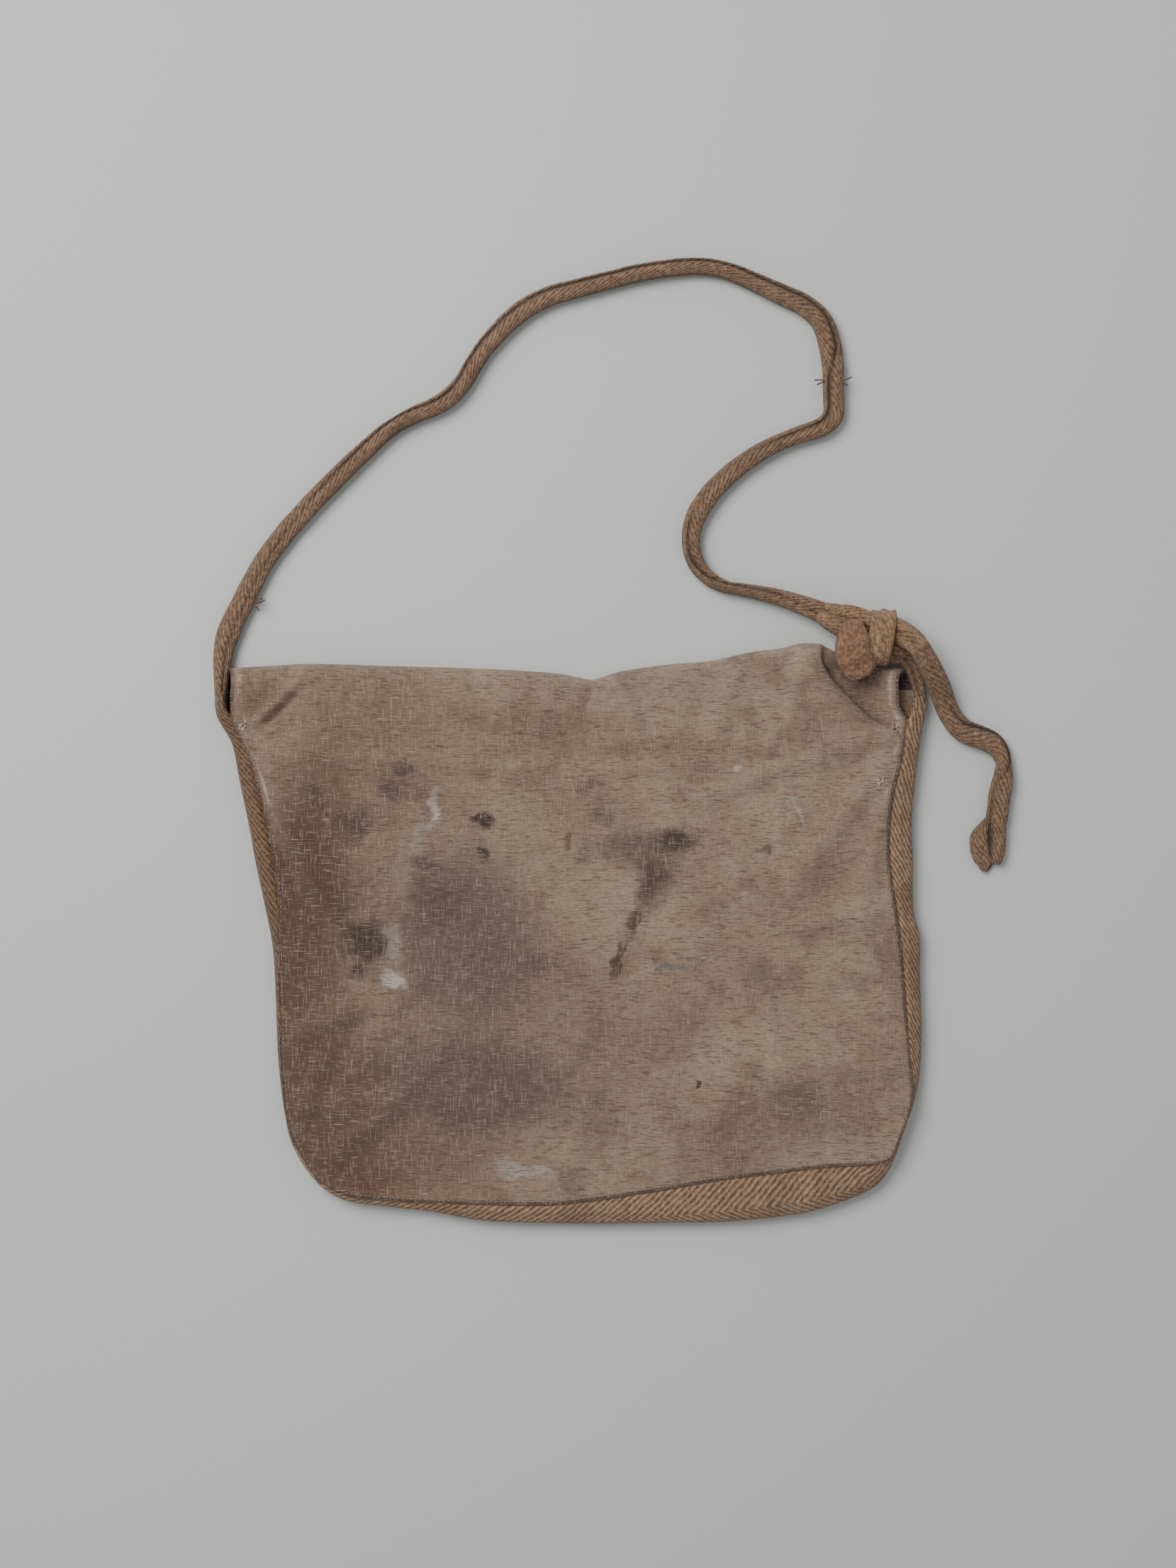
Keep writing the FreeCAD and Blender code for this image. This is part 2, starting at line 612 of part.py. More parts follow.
knot_entry = doc.addObject("Part::Cone", "knot_entry")
knot_entry.setExpression("Radius1", cell("strap_diameter") + " / 2")
knot_entry.setExpression("Radius2", cell("knot_entry_radius"))
knot_entry.setExpression("Height", cell("knot_entry_length"))
on_knot_axis(knot_entry, "0")

knot_wrap = doc.addObject("Part::Cylinder", "knot_wrap")
knot_wrap.setExpression("Radius", cell("knot_wrap_radius"))
knot_wrap.setExpression("Height", cell("knot_wrap_length"))
on_knot_axis(knot_wrap, cell("knot_entry_length"))

knot_exit = doc.addObject("Part::Cone", "knot_exit")
knot_exit.setExpression("Radius1", cell("knot_entry_radius"))
knot_exit.setExpression("Radius2", cell("knot_exit_radius"))
knot_exit.setExpression("Height", cell("knot_exit_length"))
on_knot_axis(knot_exit, cell("knot_entry_length") + " + " + cell("knot_wrap_length"))

# The frayed end comes out of the knot over its entry and lies on the back panel.
frayed_end = doc.addObject("Part::Cone", "frayed_end")
frayed_end.setExpression("Radius1", cell("stub_neck"))
frayed_end.setExpression("Radius2", cell("stub_radius"))
frayed_end.setExpression("Height", cell("stub_length"))
stub_way = FreeCAD.Vector(0.12, -1, 0.1)
frayed_end.Placement = FreeCAD.Placement(
    FreeCAD.Vector(), FreeCAD.Rotation(FreeCAD.Vector(0, 0, 1), stub_way))
frayed_end.setExpression("Placement.Base.x", "%s + 15" % cell("knot_entry_x"))
frayed_end.setExpression("Placement.Base.y", "%s - 10" % cell("knot_entry_y"))
frayed_end.setExpression("Placement.Base.z", "%s + %s + 6.2" % (
    cell("bag_height"), cell("thread")))
nodes.append(frayed_end)

# ---------------------------------------------------------------- turned-over end of the tail
tail_last = TAIL_ROUTE[-1]
tail_before = TAIL_ROUTE[-2]
tail_heading = math.degrees(math.atan2(tail_last[1] - tail_before[1], tail_last[0] - tail_before[0]))
tail_lift = tail_last[2] + (size("tail_diameter") - size("tail_end_thickness")) / 2
tail_end = doc.addObject("PartDesign::Body", "tail_end")
length_words = cell("tail_end_length")
# The end is turned over towards the bag, so it is wider on that side.
OUTER_SHARE = 0.25
INNER_SHARE = 1 - OUTER_SHARE
width = size("tail_end_width")
end_corners = [
    ("start_out", 0, width * OUTER_SHARE, "0", "%s * %s" % (cell("tail_end_width"), OUTER_SHARE)),
    ("start_in", 0, -width * INNER_SHARE, "0",
     "-%s * %s" % (cell("tail_end_width"), INNER_SHARE)),
    ("end_in", size("tail_end_length"), -width * INNER_SHARE, length_words,
     "-%s * %s" % (cell("tail_end_width"), INNER_SHARE)),
    ("end_out", size("tail_end_length"), width * OUTER_SHARE, length_words,
     "%s * %s" % (cell("tail_end_width"), OUTER_SHARE)),
]
end_sketch = polygon_sketch(tail_end, "tail_end", end_corners, "0")
end_pad = tail_end.newObject("PartDesign::Pad", "tail_end_pad")
end_pad.Profile = end_sketch
end_pad.setExpression("Length", cell("tail_end_thickness"))
tail_end.Tip = end_pad
doc.recompute()
end_round = tail_end.newObject("PartDesign::Fillet", "tail_end_round")
end_round.Base = (end_pad, upright_edges(end_pad.Shape, [(c[1], c[2]) for c in end_corners]))
end_round.Radius = 3.0
tail_end.Tip = end_round
tail_end.Placement = FreeCAD.Placement(
    FreeCAD.Vector(tail_last[0], tail_last[1], tail_lift),
    FreeCAD.Rotation(FreeCAD.Vector(0, 0, 1), tail_heading))
nodes.append(tail_end)

# ---------------------------------------------------------------- checks and files
doc.recompute()
for item in doc.Objects:
    if "Invalid" in item.State or "Error" in item.State:
        raise RuntimeError("%s failed: %s" % (item.Name, item.State))
for node in nodes:
    shape = node.Shape
    if shape.isNull() or not shape.isValid() or not shape.Solids:
        raise RuntimeError("%s has no valid solid" % node.Label)
os.makedirs("parts", exist_ok=True)
for node in nodes:
    node.Shape.exportStep("parts/%s.step" % node.Label)
    bounds = node.Shape.BoundBox
    print("%-18s %d solid(s) %8.0f mm3  x %.1f..%.1f  y %.1f..%.1f  z %.2f..%.2f" % (
        node.Label, len(node.Shape.Solids), node.Shape.Volume, bounds.XMin, bounds.XMax,
        bounds.YMin, bounds.YMax, bounds.ZMin, bounds.ZMax))
print("%d sub-parts" % len(nodes))
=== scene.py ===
# %% [markdown]
# # A cloth shoulder bag, lying flat
#
# A worn brown cloth bag lies on a pale floor with its back panel up and its flap underneath.
# A herringbone tape runs round its edge as the gusset, and the same tape, folded lengthwise,
# makes the shoulder strap, which is tied in a knot at the right corner.
#
# The CAD model gives the frame: the pieces made here take the place of its parts, and some ride on
# its bodies.

# %% The frame
import math
import bpy
import numpy as np
from mathutils import Matrix, Vector, noise


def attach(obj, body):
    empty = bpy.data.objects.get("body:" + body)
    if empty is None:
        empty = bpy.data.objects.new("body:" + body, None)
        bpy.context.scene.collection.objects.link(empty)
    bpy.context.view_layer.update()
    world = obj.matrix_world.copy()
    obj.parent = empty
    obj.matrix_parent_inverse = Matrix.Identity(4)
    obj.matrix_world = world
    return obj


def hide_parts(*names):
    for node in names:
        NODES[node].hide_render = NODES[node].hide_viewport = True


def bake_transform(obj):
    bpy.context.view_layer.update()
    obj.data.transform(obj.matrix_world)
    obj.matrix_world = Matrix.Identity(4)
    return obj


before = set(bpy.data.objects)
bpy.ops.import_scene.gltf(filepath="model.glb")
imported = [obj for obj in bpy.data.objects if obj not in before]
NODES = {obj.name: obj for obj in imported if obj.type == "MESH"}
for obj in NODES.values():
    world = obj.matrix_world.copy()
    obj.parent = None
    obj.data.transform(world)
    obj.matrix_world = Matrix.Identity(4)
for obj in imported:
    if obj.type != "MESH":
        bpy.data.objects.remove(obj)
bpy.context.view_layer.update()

SCENE = bpy.context.scene
MM = 0.001

# %% [markdown]
# ## The camera
#
# It looks straight down on the middle of the bag and its strap, with the bag's mouth at the top
# of the frame.

# %% Camera
LOOK_AT = (10.6, 94.8)
CAMERA_HEIGHT = 1300.0
SEEN_HEIGHT = 940.0
bpy.ops.object.camera_add(
    location=(LOOK_AT[0] * MM, LOOK_AT[1] * MM, CAMERA_HEIGHT * MM), rotation=(0, 0, 0))
camera = bpy.context.object
camera.name = "camera"
camera.data.sensor_fit = "VERTICAL"
camera.data.sensor_height = 36.0
camera.data.lens = 36.0 * (CAMERA_HEIGHT - 12.0) / SEEN_HEIGHT
SCENE.camera = camera
print("lens %.1f mm" % camera.data.lens)

# %% [markdown]
# ## Lines and grids
#
# Cloth and tape are both made the same way.  A grid primitive is laid out flat, and each of its
# points is then moved to its place by a small rule that takes the point's share across (0 to 1)
# and its share along (0 to 1).  Its own flat layout stays behind as the UV map, in metres, so a
# woven pattern follows the folds.

# %% Lines and grids
def smooth_line(points, count):
    """Even samples along a smooth curve through the points."""
    p = np.array(points, float)
    padded = np.vstack([2 * p[0] - p[1], p, 2 * p[-1] - p[-2]])
    t = np.linspace(0, 1, 12, endpoint=False)[:, None]
    run = []
    for a, b, c, d in zip(padded, padded[1:], padded[2:], padded[3:]):
        run.append(0.5 * (2 * b + (c - a) * t + (2 * a - 5 * b + 4 * c - d) * t ** 2
                          + (3 * b - a - 3 * c + d) * t ** 3))
    run = np.vstack(run + [p[-1:]])
    return even_line(run, count)


def even_line(run, count):
    """Even samples along a broken line."""
    step = np.linalg.norm(np.diff(run, axis=0), axis=1)
    along = np.concatenate([[0.0], np.cumsum(step)])
    want = np.linspace(0, along[-1], count)
    return np.column_stack([np.interp(want, along, run[:, k]) for k in range(run.shape[1])])


def directions(line):
    """The unit direction of a line at each of its points."""
    way = np.gradient(line, axis=0)
    return way / np.linalg.norm(way, axis=1)[:, None]


def curve_piece(name, kind, lines):
    """One curve object with a spline of the given kind through each line, in mm."""
    data = bpy.data.curves.new(name, "CURVE")
    data.dimensions = "3D"
    for line in lines:
        spline = data.splines.new(kind)
        spline.points.add(len(line) - 1)
        for point, place in zip(spline.points, line):
            point.co = (*[v * MM for v in place], 1.0)
    piece = bpy.data.objects.new(name, data)
    SCENE.collection.objects.link(piece)
    return piece


def line_length(run):
    return float(np.linalg.norm(np.diff(run, axis=0), axis=1).sum())


def smoothstep(value):
    value = np.clip(value, 0.0, 1.0)
    return value * value * (3 - 2 * value)


def grid_piece(name, columns, rows, place, flat_size):
    """A grid whose points are put in place by place(across, along), which answers in mm."""
    bpy.ops.mesh.primitive_grid_add(x_subdivisions=columns, y_subdivisions=rows, size=1.0)
    piece = bpy.context.object
    piece.name = name
    mesh = piece.data
    mesh.name = name
    co = np.empty(len(mesh.vertices) * 3)
    mesh.vertices.foreach_get("co", co)
    co = co.reshape(-1, 3)
    across = co[:, 0] + 0.5
    along = co[:, 1] + 0.5
    placed = np.asarray(place(across, along), float) * MM
    mesh.vertices.foreach_set("co", placed.ravel())
    layer = mesh.uv_layers.active
    uv = np.empty(len(mesh.loops) * 2)
    layer.data.foreach_get("uv", uv)
    uv = uv.reshape(-1, 2) * np.array(flat_size) * MM
    layer.data.foreach_set("uv", uv.ravel())
    mesh.update()
    return piece


def finish_piece(piece, material, angle=60.0):
    """Outward faces, smooth shading and the material."""
    bpy.ops.object.select_all(action="DESELECT")
    piece.select_set(True)
    bpy.context.view_layer.objects.active = piece
    bpy.ops.object.mode_set(mode="EDIT")
    bpy.ops.mesh.select_all(action="SELECT")
    bpy.ops.mesh.normals_make_consistent(inside=False)
    bpy.ops.object.mode_set(mode="OBJECT")
    bpy.ops.object.shade_smooth_by_angle(angle=math.radians(angle))
    piece.data.materials.clear()
    piece.data.materials.append(material)
    return piece


def weld(piece, fill=False):
    """Joins the meeting edges of a band, and closes its open ends if asked."""
    bpy.context.view_layer.objects.active = piece
    bpy.ops.object.mode_set(mode="EDIT")
    bpy.ops.mesh.select_all(action="SELECT")
    bpy.ops.mesh.remove_doubles(threshold=0.00001)
    if fill:
        bpy.ops.mesh.select_all(action="DESELECT")
        bpy.ops.mesh.select_non_manifold()
        bpy.ops.mesh.fill_holes(sides=0)
    bpy.ops.object.mode_set(mode="OBJECT")


def thicken(piece, thickness):
    """Gives a sheet its thickness, half on either side."""
    bpy.context.view_layer.objects.active = piece
    solid = piece.modifiers.new("thickness", "SOLIDIFY")
    solid.thickness = thickness * MM
    solid.offset = 0.0
    solid.use_rim = True
    bpy.ops.object.modifier_apply(modifier=solid.name)
    return piece


def lumps(x, y, scale, seed):
    """Smooth noise from -1 to 1 with lumps about scale mm across."""
    k = 1.0 / scale
    return np.array([noise.noise(Vector((a * k, b * k, seed))) for a, b in zip(x, y)])


# %% [markdown]
# ## Materials
#
# Colours are written as hex codes of what the eye sees and turned into linear values by one
# function.  Small-scale weave comes from the UV map or from object coordinates, both in metres.

# %% Colours and nodes
def colour(code):
    """A linear RGBA value from a hex sRGB code."""
    parts = [int(code[i:i + 2], 16) / 255 for i in (1, 3, 5)]
    linear = [c / 12.92 if c <= 0.04045 else ((c + 0.055) / 1.055) ** 2.4 for c in parts]
    return (*linear, 1.0)


def add(tree, kind, settings=None, links=None):
    """Adds a node.  Each entry of links is a plain value or another node's output."""
    made = tree.nodes.new(kind)
    for key, value in (settings or {}).items():
        setattr(made, key, value)
    for key, value in (links or {}).items():
        if isinstance(value, bpy.types.NodeSocket):
            tree.links.new(value, made.inputs[key])
        else:
            made.inputs[key].default_value = value
    return made


def start_material(name, roughness):
    material = bpy.data.materials.new(name)
    material.use_nodes = True
    tree = material.node_tree
    surface = tree.nodes["Principled BSDF"]
    surface.inputs["Roughness"].default_value = roughness
    surface.inputs["Specular IOR Level"].default_value = 0.25
    surface.inputs["Sheen Weight"].default_value = 0.15
    surface.inputs["Sheen Roughness"].default_value = 0.6
    return material, tree, surface


def finish_material(tree, surface, base, height, strength, depth):
    """Joins the colour and the relief to the surface."""
    bump = add(tree, "ShaderNodeBump", None,
               {"Strength": strength, "Distance": depth, "Height": height})
    tree.links.new(base, surface.inputs["Base Color"])
    tree.links.new(bump.outputs["Normal"], surface.inputs["Normal"])


def maths(tree, operation, a, b=0.0):
    return add(tree, "ShaderNodeMath", {"operation": operation}, {0: a, 1: b}).outputs[0]


def times(tree, a, b):
    return maths(tree, "MULTIPLY", a, b)


def mix(tree, share, a, b):
    """A mix of two colours."""
    return add(tree, "ShaderNodeMix", {"data_type": "RGBA"},
               {"Factor": share, 6: a, 7: b}).outputs[2]


def tint(tree, base, share, strength, code):
    """The base colour with some of another one over it."""
    return mix(tree, times(tree, share, strength), base, colour(code))


def ramp(tree, value, start, stop, top=1.0):
    """A smooth share: 0 where the value is start, and top where it is stop."""
    return add(tree, "ShaderNodeMapRange", {"interpolation_type": "SMOOTHSTEP"},
               {"Value": value, "From Min": start, "From Max": stop,
                "To Max": top}).outputs["Result"]


def speckle(tree, where, scale, low, high, detail=3.0, seed=0.0):
    """Noise turned into a share from 0 to 1 between its low and high values."""
    grain = add(tree, "ShaderNodeTexNoise", {"noise_dimensions": "4D"},
                {"Vector": where, "Scale": scale, "Detail": detail, "W": seed})
    return ramp(tree, grain.outputs["Fac"], low, high)


def stretched(tree, where, scale):
    """Coordinates scaled by a different amount in each direction."""
    return add(tree, "ShaderNodeMapping", {"vector_type": "POINT"},
               {"Vector": where, "Scale": scale}).outputs[0]


# %% [markdown]
# ### The bag cloth
#
# A coarse plain weave, dyed brown and worn pale.  Thick and thin yarns give short pale dashes
# along X and fainter ones along Y.  The stains, and patches of painted shade by a fold, below the
# lap line and in the sunken corner, are written as a list of blotches: middle, size, turn, colour,
# strength and softness of the edge.

# %% Cloth
BACK_SIZE = (395.0, 345.0)
# How far noise pushes the edge of a stain or shade patch about, and its mean, in metres.
BLOTCH_PUSH = 0.024
BLOTCH_SHIFT = BLOTCH_PUSH / 2
STAINS_AND_SHADE_PATCHES = [
    # x, y, half length, half width, turn, colour, strength, softness (mm and degrees)
    (-120, 20, 110, 150, 0, "#77604f", 0.50, 0.8),
    (-125, 118, 70, 40, 0, "#785e4d", 0.50, 0.7),
    (-115, -132, 80, 26, 0, "#694f40", 0.60, 0.7),
    (-63, 5, 40, 50, 10, "#5f4f4a", 0.72, 0.45),
    (-60, -85, 62, 26, -8, "#574843", 0.74, 0.45),
    (-20, -60, 70, 60, 0, "#665048", 0.40, 0.7),
    (54, 46, 18, 17, 0, "#5a483d", 0.60, 0.6),
    (35, 60, 16, 10, 0, "#5d5049", 0.60, 0.6),
    (64, 61, 13, 7, 12, "#2f211a", 0.90, 0.6),
    (49, 35, 14, 7, 75, "#38281f", 0.80, 0.7),
    (38, 12, 10, 4, 75, "#35251c", 0.90, 0.6),
    (9, 55, 9, 4, 85, "#6a6058", 0.60, 0.6),
    (14, 94, 8, 2.5, 10, "#4d3b30", 0.60, 0.7),
    (20, 76, 5, 4, 0, "#5e524c", 0.60, 0.7),
    (40, 115, 70, 6, 0, "#7a5c45", 0.50, 0.7),
    # Painted shade along the slope of the long fold from the left corner.
    (-142, 26, 46, 6, -63, "#46342a", 0.70, 0.8),
    (-121, 2, 15, 12, 0, "#30231c", 0.90, 0.6),
    (-127, -18, 6, 5, 0, "#2c1f19", 0.90, 0.6),
    (-104, -1, 11, 6, 85, "#a5968a", 0.75, 0.6),
    (-104, -23, 6, 3.4, -30, "#d2c8be", 0.95, 0.6),
    (-82, 80, 9, 3.2, 80, "#c6bab0", 0.90, 0.6),
    (-90, 62, 11, 6, 70, "#a99a8d", 0.60, 0.7),
    (-100, 38, 10, 6, 80, "#a3927f", 0.50, 0.7),
    (-24, -12, 10, 7, 0, "#4b443f", 0.55, 0.6),
    (-127, -142, 26, 9, -12, "#6e4a33", 0.60, 0.7),
    # Painted shade on the low side of the lap line.
    (170, 148, 22, 6, -44, "#3d2d23", 0.50, 0.8),
    (-28, -136, 17, 4, -8, "#b5a99d", 0.85, 0.55),
    (100, 104, 4, 2, 30, "#c2b6aa", 0.85, 0.5),
    (139, 77, 7, 1.6, -50, "#c2b6aa", 0.85, 0.5),
    (134, 84, 5, 1.4, 30, "#b8aa9d", 0.60, 0.5),
    (-1, 62, 4, 2.5, 85, "#4a2e1c", 0.80, 0.6),
    (28, -12, 9, 2, 85, "#38241a", 0.90, 0.6),
    (-53, 74, 5.4, 3.4, 0, "#15161c", 0.97, 0.45),
    (-52, 52, 3.4, 3.4, 0, "#15161c", 0.97, 0.45),
    (117.5, 55, 5, 3.5, 20, "#3d2e26", 0.7, 0.5),
    (78.4, -86.3, 1.5, 1.2, 0, "#1e1511", 0.9, 0.3),
    (60, -16, 8, 2.5, 2, "#5b6468", 0.7, 0.6),
    (77, -12, 7, 1.0, 35, "#5b5f66", 0.6, 0.6),
    (-150, -95, 42, 66, 15, "#553a2b", 0.80, 0.6),
    # Darker down the left side of the cloth.
    (-160, 25, 26, 80, -8, "#533829", 0.90, 0.6),
    (-100, 92, 16, 9, -20, "#5c463a", 0.55, 0.6),
    (-20, 132, 60, 10, -5, "#6b5342", 0.45, 0.7),
    (150, 40, 14, 40, 0, "#7a5f4f", 0.40, 0.7),
    (120, -110, 70, 22, 20, "#6f574a", 0.45, 0.6),
    (-185, 148, 14, 16, 0, "#7a5c42", 0.60, 0.6),
    (186, 150, 6, 16, 0, "#9a7a60", 0.35, 0.6),
    # Painted shade in the sunken corner beyond the lap line.
    (168, 148, 15, 18, 40, "#5d4636", 0.35, 0.6),
    (60, 150, 110, 10, 2, "#a08b78", 0.35, 0.6),
    (-99, 104, 8, 3, -30, "#43363a", 0.75, 0.6),
    (-108, 91, 6, 5, 0, "#4c3f3c", 0.65, 0.7),
    (-129, 72, 11, 9, 60, "#46362f", 0.80, 0.7),
    (-150, 82, 12, 1.6, -58, "#46372f", 0.70, 0.6),
    (-85, 47, 8, 3, -20, "#43363a", 0.70, 0.6),
    (-80, 22, 16, 12, 0, "#55443f", 0.60, 0.7),
    (132, -92, 16, 12, 0, "#5c4a3e", 0.50, 0.7),
    (112, -20, 10, 9, 0, "#5c4a42", 0.50, 0.7),
]


def stains_and_shade(tree, place, base):
    """The stains and the patches of painted shade, one over the other, each an ellipse with an
    uneven edge.
    """
    grain = add(tree, "ShaderNodeTexNoise", None,
                {"Vector": place, "Scale": 75.0, "Detail": 6.0})
    pushed = add(tree, "ShaderNodeVectorMath", {"operation": "MULTIPLY_ADD"},
                 {0: grain.outputs["Color"], 1: (BLOTCH_PUSH, BLOTCH_PUSH, 0.0),
                  2: place}).outputs[0]
    for x, y, length, width, turn, code, strength, soft in STAINS_AND_SHADE_PATCHES:
        inside = add(tree, "ShaderNodeMapping", {"vector_type": "TEXTURE"},
                     {"Vector": pushed,
                      "Location": (x * MM + BLOTCH_SHIFT, y * MM + BLOTCH_SHIFT, 0.0),
                      "Rotation": (0.0, 0.0, math.radians(turn)),
                      "Scale": (length * MM, width * MM, 10.0)}).outputs[0]
        away = add(tree, "ShaderNodeVectorMath", {"operation": "LENGTH"},
                   {0: inside}).outputs["Value"]
        share = ramp(tree, away, 1.0 + soft, 1.0 - soft, strength)
        base = mix(tree, share, base, colour(code))
    return base


def shaded_and_frayed_edges(tree, place, base):
    """Painted shade along the seams, a frayed line beside them, and painted shade in the open ends
    of the roll.
    """
    split = add(tree, "ShaderNodeSeparateXYZ", None,
                {0: add(tree, "ShaderNodeTexCoord").outputs["UV"]})
    from_left = split.outputs["X"]
    from_bottom = split.outputs["Y"]
    from_right = maths(tree, "SUBTRACT", BACK_SIZE[0] * MM, from_left)
    side = maths(tree, "MINIMUM", from_left, from_right)
    edge = maths(tree, "MINIMUM", side, from_bottom)
    seam = ramp(tree, edge, 0.0032, 0.0008, 0.8)
    # The frayed line is 5 mm in from either side, on the upper part of the bag.
    worn = times(tree, ramp(tree, side, 0.0034, 0.0046), ramp(tree, side, 0.0070, 0.0052))
    worn = times(tree, worn, ramp(tree, from_bottom, 0.19, 0.23))
    worn = times(tree, worn, speckle(tree, place, 60.0, 0.45, 0.62, 4.0, 8.0))
    base = tint(tree, base, worn, 0.9, "#cbb7a4")
    # Painted shade: a dark line along the seams, under the cloth's edge where it lies over the
    # tape.
    base = mix(tree, seam, base, colour("#33231a"))
    # No light reaches the lower layer in the open ends of the roll.
    low = ramp(tree, from_bottom, 0.316, 0.322)
    return tint(tree, base, low, ramp(tree, side, 0.020, 0.014), "#241a15")


def cloth_material(name, is_back):
    # Coarse cotton canvas, brown, washed out and rubbed pale on its high yarns.
    material, tree, surface = start_material(name, 0.92)
    place = add(tree, "ShaderNodeTexCoord").outputs["Object"]
    base = mix(tree, speckle(tree, place, 14.0, 0.35, 0.66), colour("#9c8370"), colour("#b39b84"))
    base = tint(tree, base, speckle(tree, place, 38.0, 0.50, 0.66, 6.0, 3.0), 0.6, "#735c4d")
    base = tint(tree, base, speckle(tree, place, 55.0, 0.56, 0.70, 6.0, 6.0), 0.5, "#b7a18e")
    if is_back:
        base = shaded_and_frayed_edges(tree, place, stains_and_shade(tree, place, base))
    # Slubs: long thin patches of noise in both yarn directions.
    weft = speckle(tree, stretched(tree, place, (120.0, 1900.0, 70.0)), 1.0, 0.54, 0.68, 2.0)
    warp = speckle(tree, stretched(tree, place, (1900.0, 130.0, 90.0)), 1.0, 0.54, 0.70, 2.0, 5.0)
    dark = speckle(tree, stretched(tree, place, (150.0, 1500.0, 90.0)), 1.0, 0.52, 0.68, 2.0, 9.0)
    grit = speckle(tree, stretched(tree, place, (420.0, 900.0, 400.0)), 1.0, 0.44, 0.62, 3.0, 11.0)
    for share, strength, code in ((weft, 0.66, "#c2ad9a"), (warp, 0.60, "#bba692"),
                                  (dark, 0.66, "#513c30"), (grit, 0.26, "#54402f")):
        base = tint(tree, base, share, strength, code)
    # Yarns, 0.9 mm apart each way, uneven.
    waves = [add(tree, "ShaderNodeTexWave", {"wave_type": "BANDS", "bands_direction": axis},
                 {"Vector": place, "Scale": 350.0, "Distortion": 1.2, "Detail": 2.0,
                  "Detail Scale": 2.0}).outputs["Fac"] for axis in "XY"]
    yarns = times(tree, *waves)
    base = tint(tree, base, maths(tree, "SUBTRACT", 1.0, yarns), 0.32, "#4e3d33")
    height = maths(tree, "ADD", yarns, times(tree, weft, 0.8))
    finish_material(tree, surface, base, height, 0.7, 0.0004)
    return material


CLOTH = cloth_material("cotton_canvas", False)
# The back cloth's material has the stains and the painted shade on it.
STAINED_SHADED_CLOTH = cloth_material("cotton_canvas_stained_and_shaded", True)


# %% [markdown]
# ### The tape
#
# Herringbone twill tape: slanting ribs that turn back at the middle of the tape.  The UV map runs
# across the tape first and along it second, in metres.  In the grooves of the folded tape and
# along the band's sides, an attribute paints shade into the tape's colour.

# %% Tape
# From one rib to the next along the tape, in metres.
RIB_PITCH = 0.0051


def tape_material(name, dark, light, middle, rib_share=1.0, depth=0.0007, slope=1.54):
    # Cotton herringbone tape, brown, with fluff on its ribs.
    material, tree, surface = start_material(name, 0.9)
    coords = add(tree, "ShaderNodeTexCoord")
    place = coords.outputs["Object"]
    split = add(tree, "ShaderNodeSeparateXYZ", None, {0: coords.outputs["UV"]})
    across = maths(tree, "ABSOLUTE", maths(tree, "SUBTRACT", split.outputs["X"], middle))
    wobble = add(tree, "ShaderNodeTexNoise", None,
                 {"Vector": place, "Scale": 110.0, "Detail": 3.0}).outputs["Fac"]
    # With a slope of 1.54 the ribs lie 33 degrees off the tape's length, 2.8 mm apart.
    slant = maths(tree, "ADD", split.outputs["Y"], times(tree, across, slope))
    slant = maths(tree, "ADD", slant, times(tree, wobble, 0.0050))
    rib = maths(tree, "SINE", times(tree, slant, 2 * math.pi / RIB_PITCH))
    rib = ramp(tree, rib, -1.0, 0.6)
    rough = speckle(tree, place, 420.0, 0.35, 0.68, 4.0, 2.0)
    tone = maths(tree, "ADD", times(tree, rib, 0.55 * rib_share), times(tree, rough, 0.45))
    base = mix(tree, tone, colour(dark), colour(light))
    base = tint(tree, base, speckle(tree, place, 45.0, 0.42, 0.7), 0.35, dark)
    base = tint(tree, base, speckle(tree, place, 1100.0, 0.52, 0.70, 2.0), 0.30, "#b08f74")
    # Painted shade in the grooves of the folded tape and along the band's sides.
    fold_shade = add(tree, "ShaderNodeAttribute", {"attribute_name": "fold_shade"}).outputs["Fac"]
    base = tint(tree, base, fold_shade, 0.85, "#2b1b11")
    height = maths(tree, "ADD", times(tree, rib, rib_share), times(tree, rough, 0.6))
    finish_material(tree, surface, base, height, 0.9, depth)
    return material


TAPE = tape_material("cotton_tape", "#5b412f", "#ab8a6c", 0.020, slope=-1.54)
# Painted shade: the left gusset gets a darker copy of the tape, for the shade on that side of the
# bag.
SHADED_TAPE = tape_material("cotton_tape_painted_shade", "#3c2616", "#806043", 0.020, slope=-1.54)
KNOT_TAPE = tape_material("cotton_tape_knot", "#64462f", "#be9a76", 0.013, 0.45, 0.0008,
                          slope=2.6)
STRAP_TAPE = tape_material("cotton_tape_strap", "#4f3827", "#9c7c61", 0.013, 0.65, 0.0006,
                           slope=2.6)
FRAYED = tape_material("cotton_tape_frayed", "#694833", "#b08869", 0.020, 0.2, 0.0012)


def thread_material(name, code):
    # Sewing thread, cotton or polyester, matte.
    material, tree, surface = start_material(name, 0.85)
    place = add(tree, "ShaderNodeTexCoord").outputs["Object"]
    base = mix(tree, speckle(tree, place, 500.0, 0.4, 0.6), colour(code), colour("#6d5a4c"))
    tree.links.new(base, surface.inputs["Base Color"])
    return material


THREAD = thread_material("thread_brown", "#a08975")
PALE_THREAD = thread_material("thread_pale", "#c4b7a8")

# %% [markdown]
# ## The outline
#
# The bag's rim is walked from the left mouth corner down, along the bottom and up to the right
# mouth corner.  Each entry has the outer edge of the tape and the seam where the back panel
# begins.

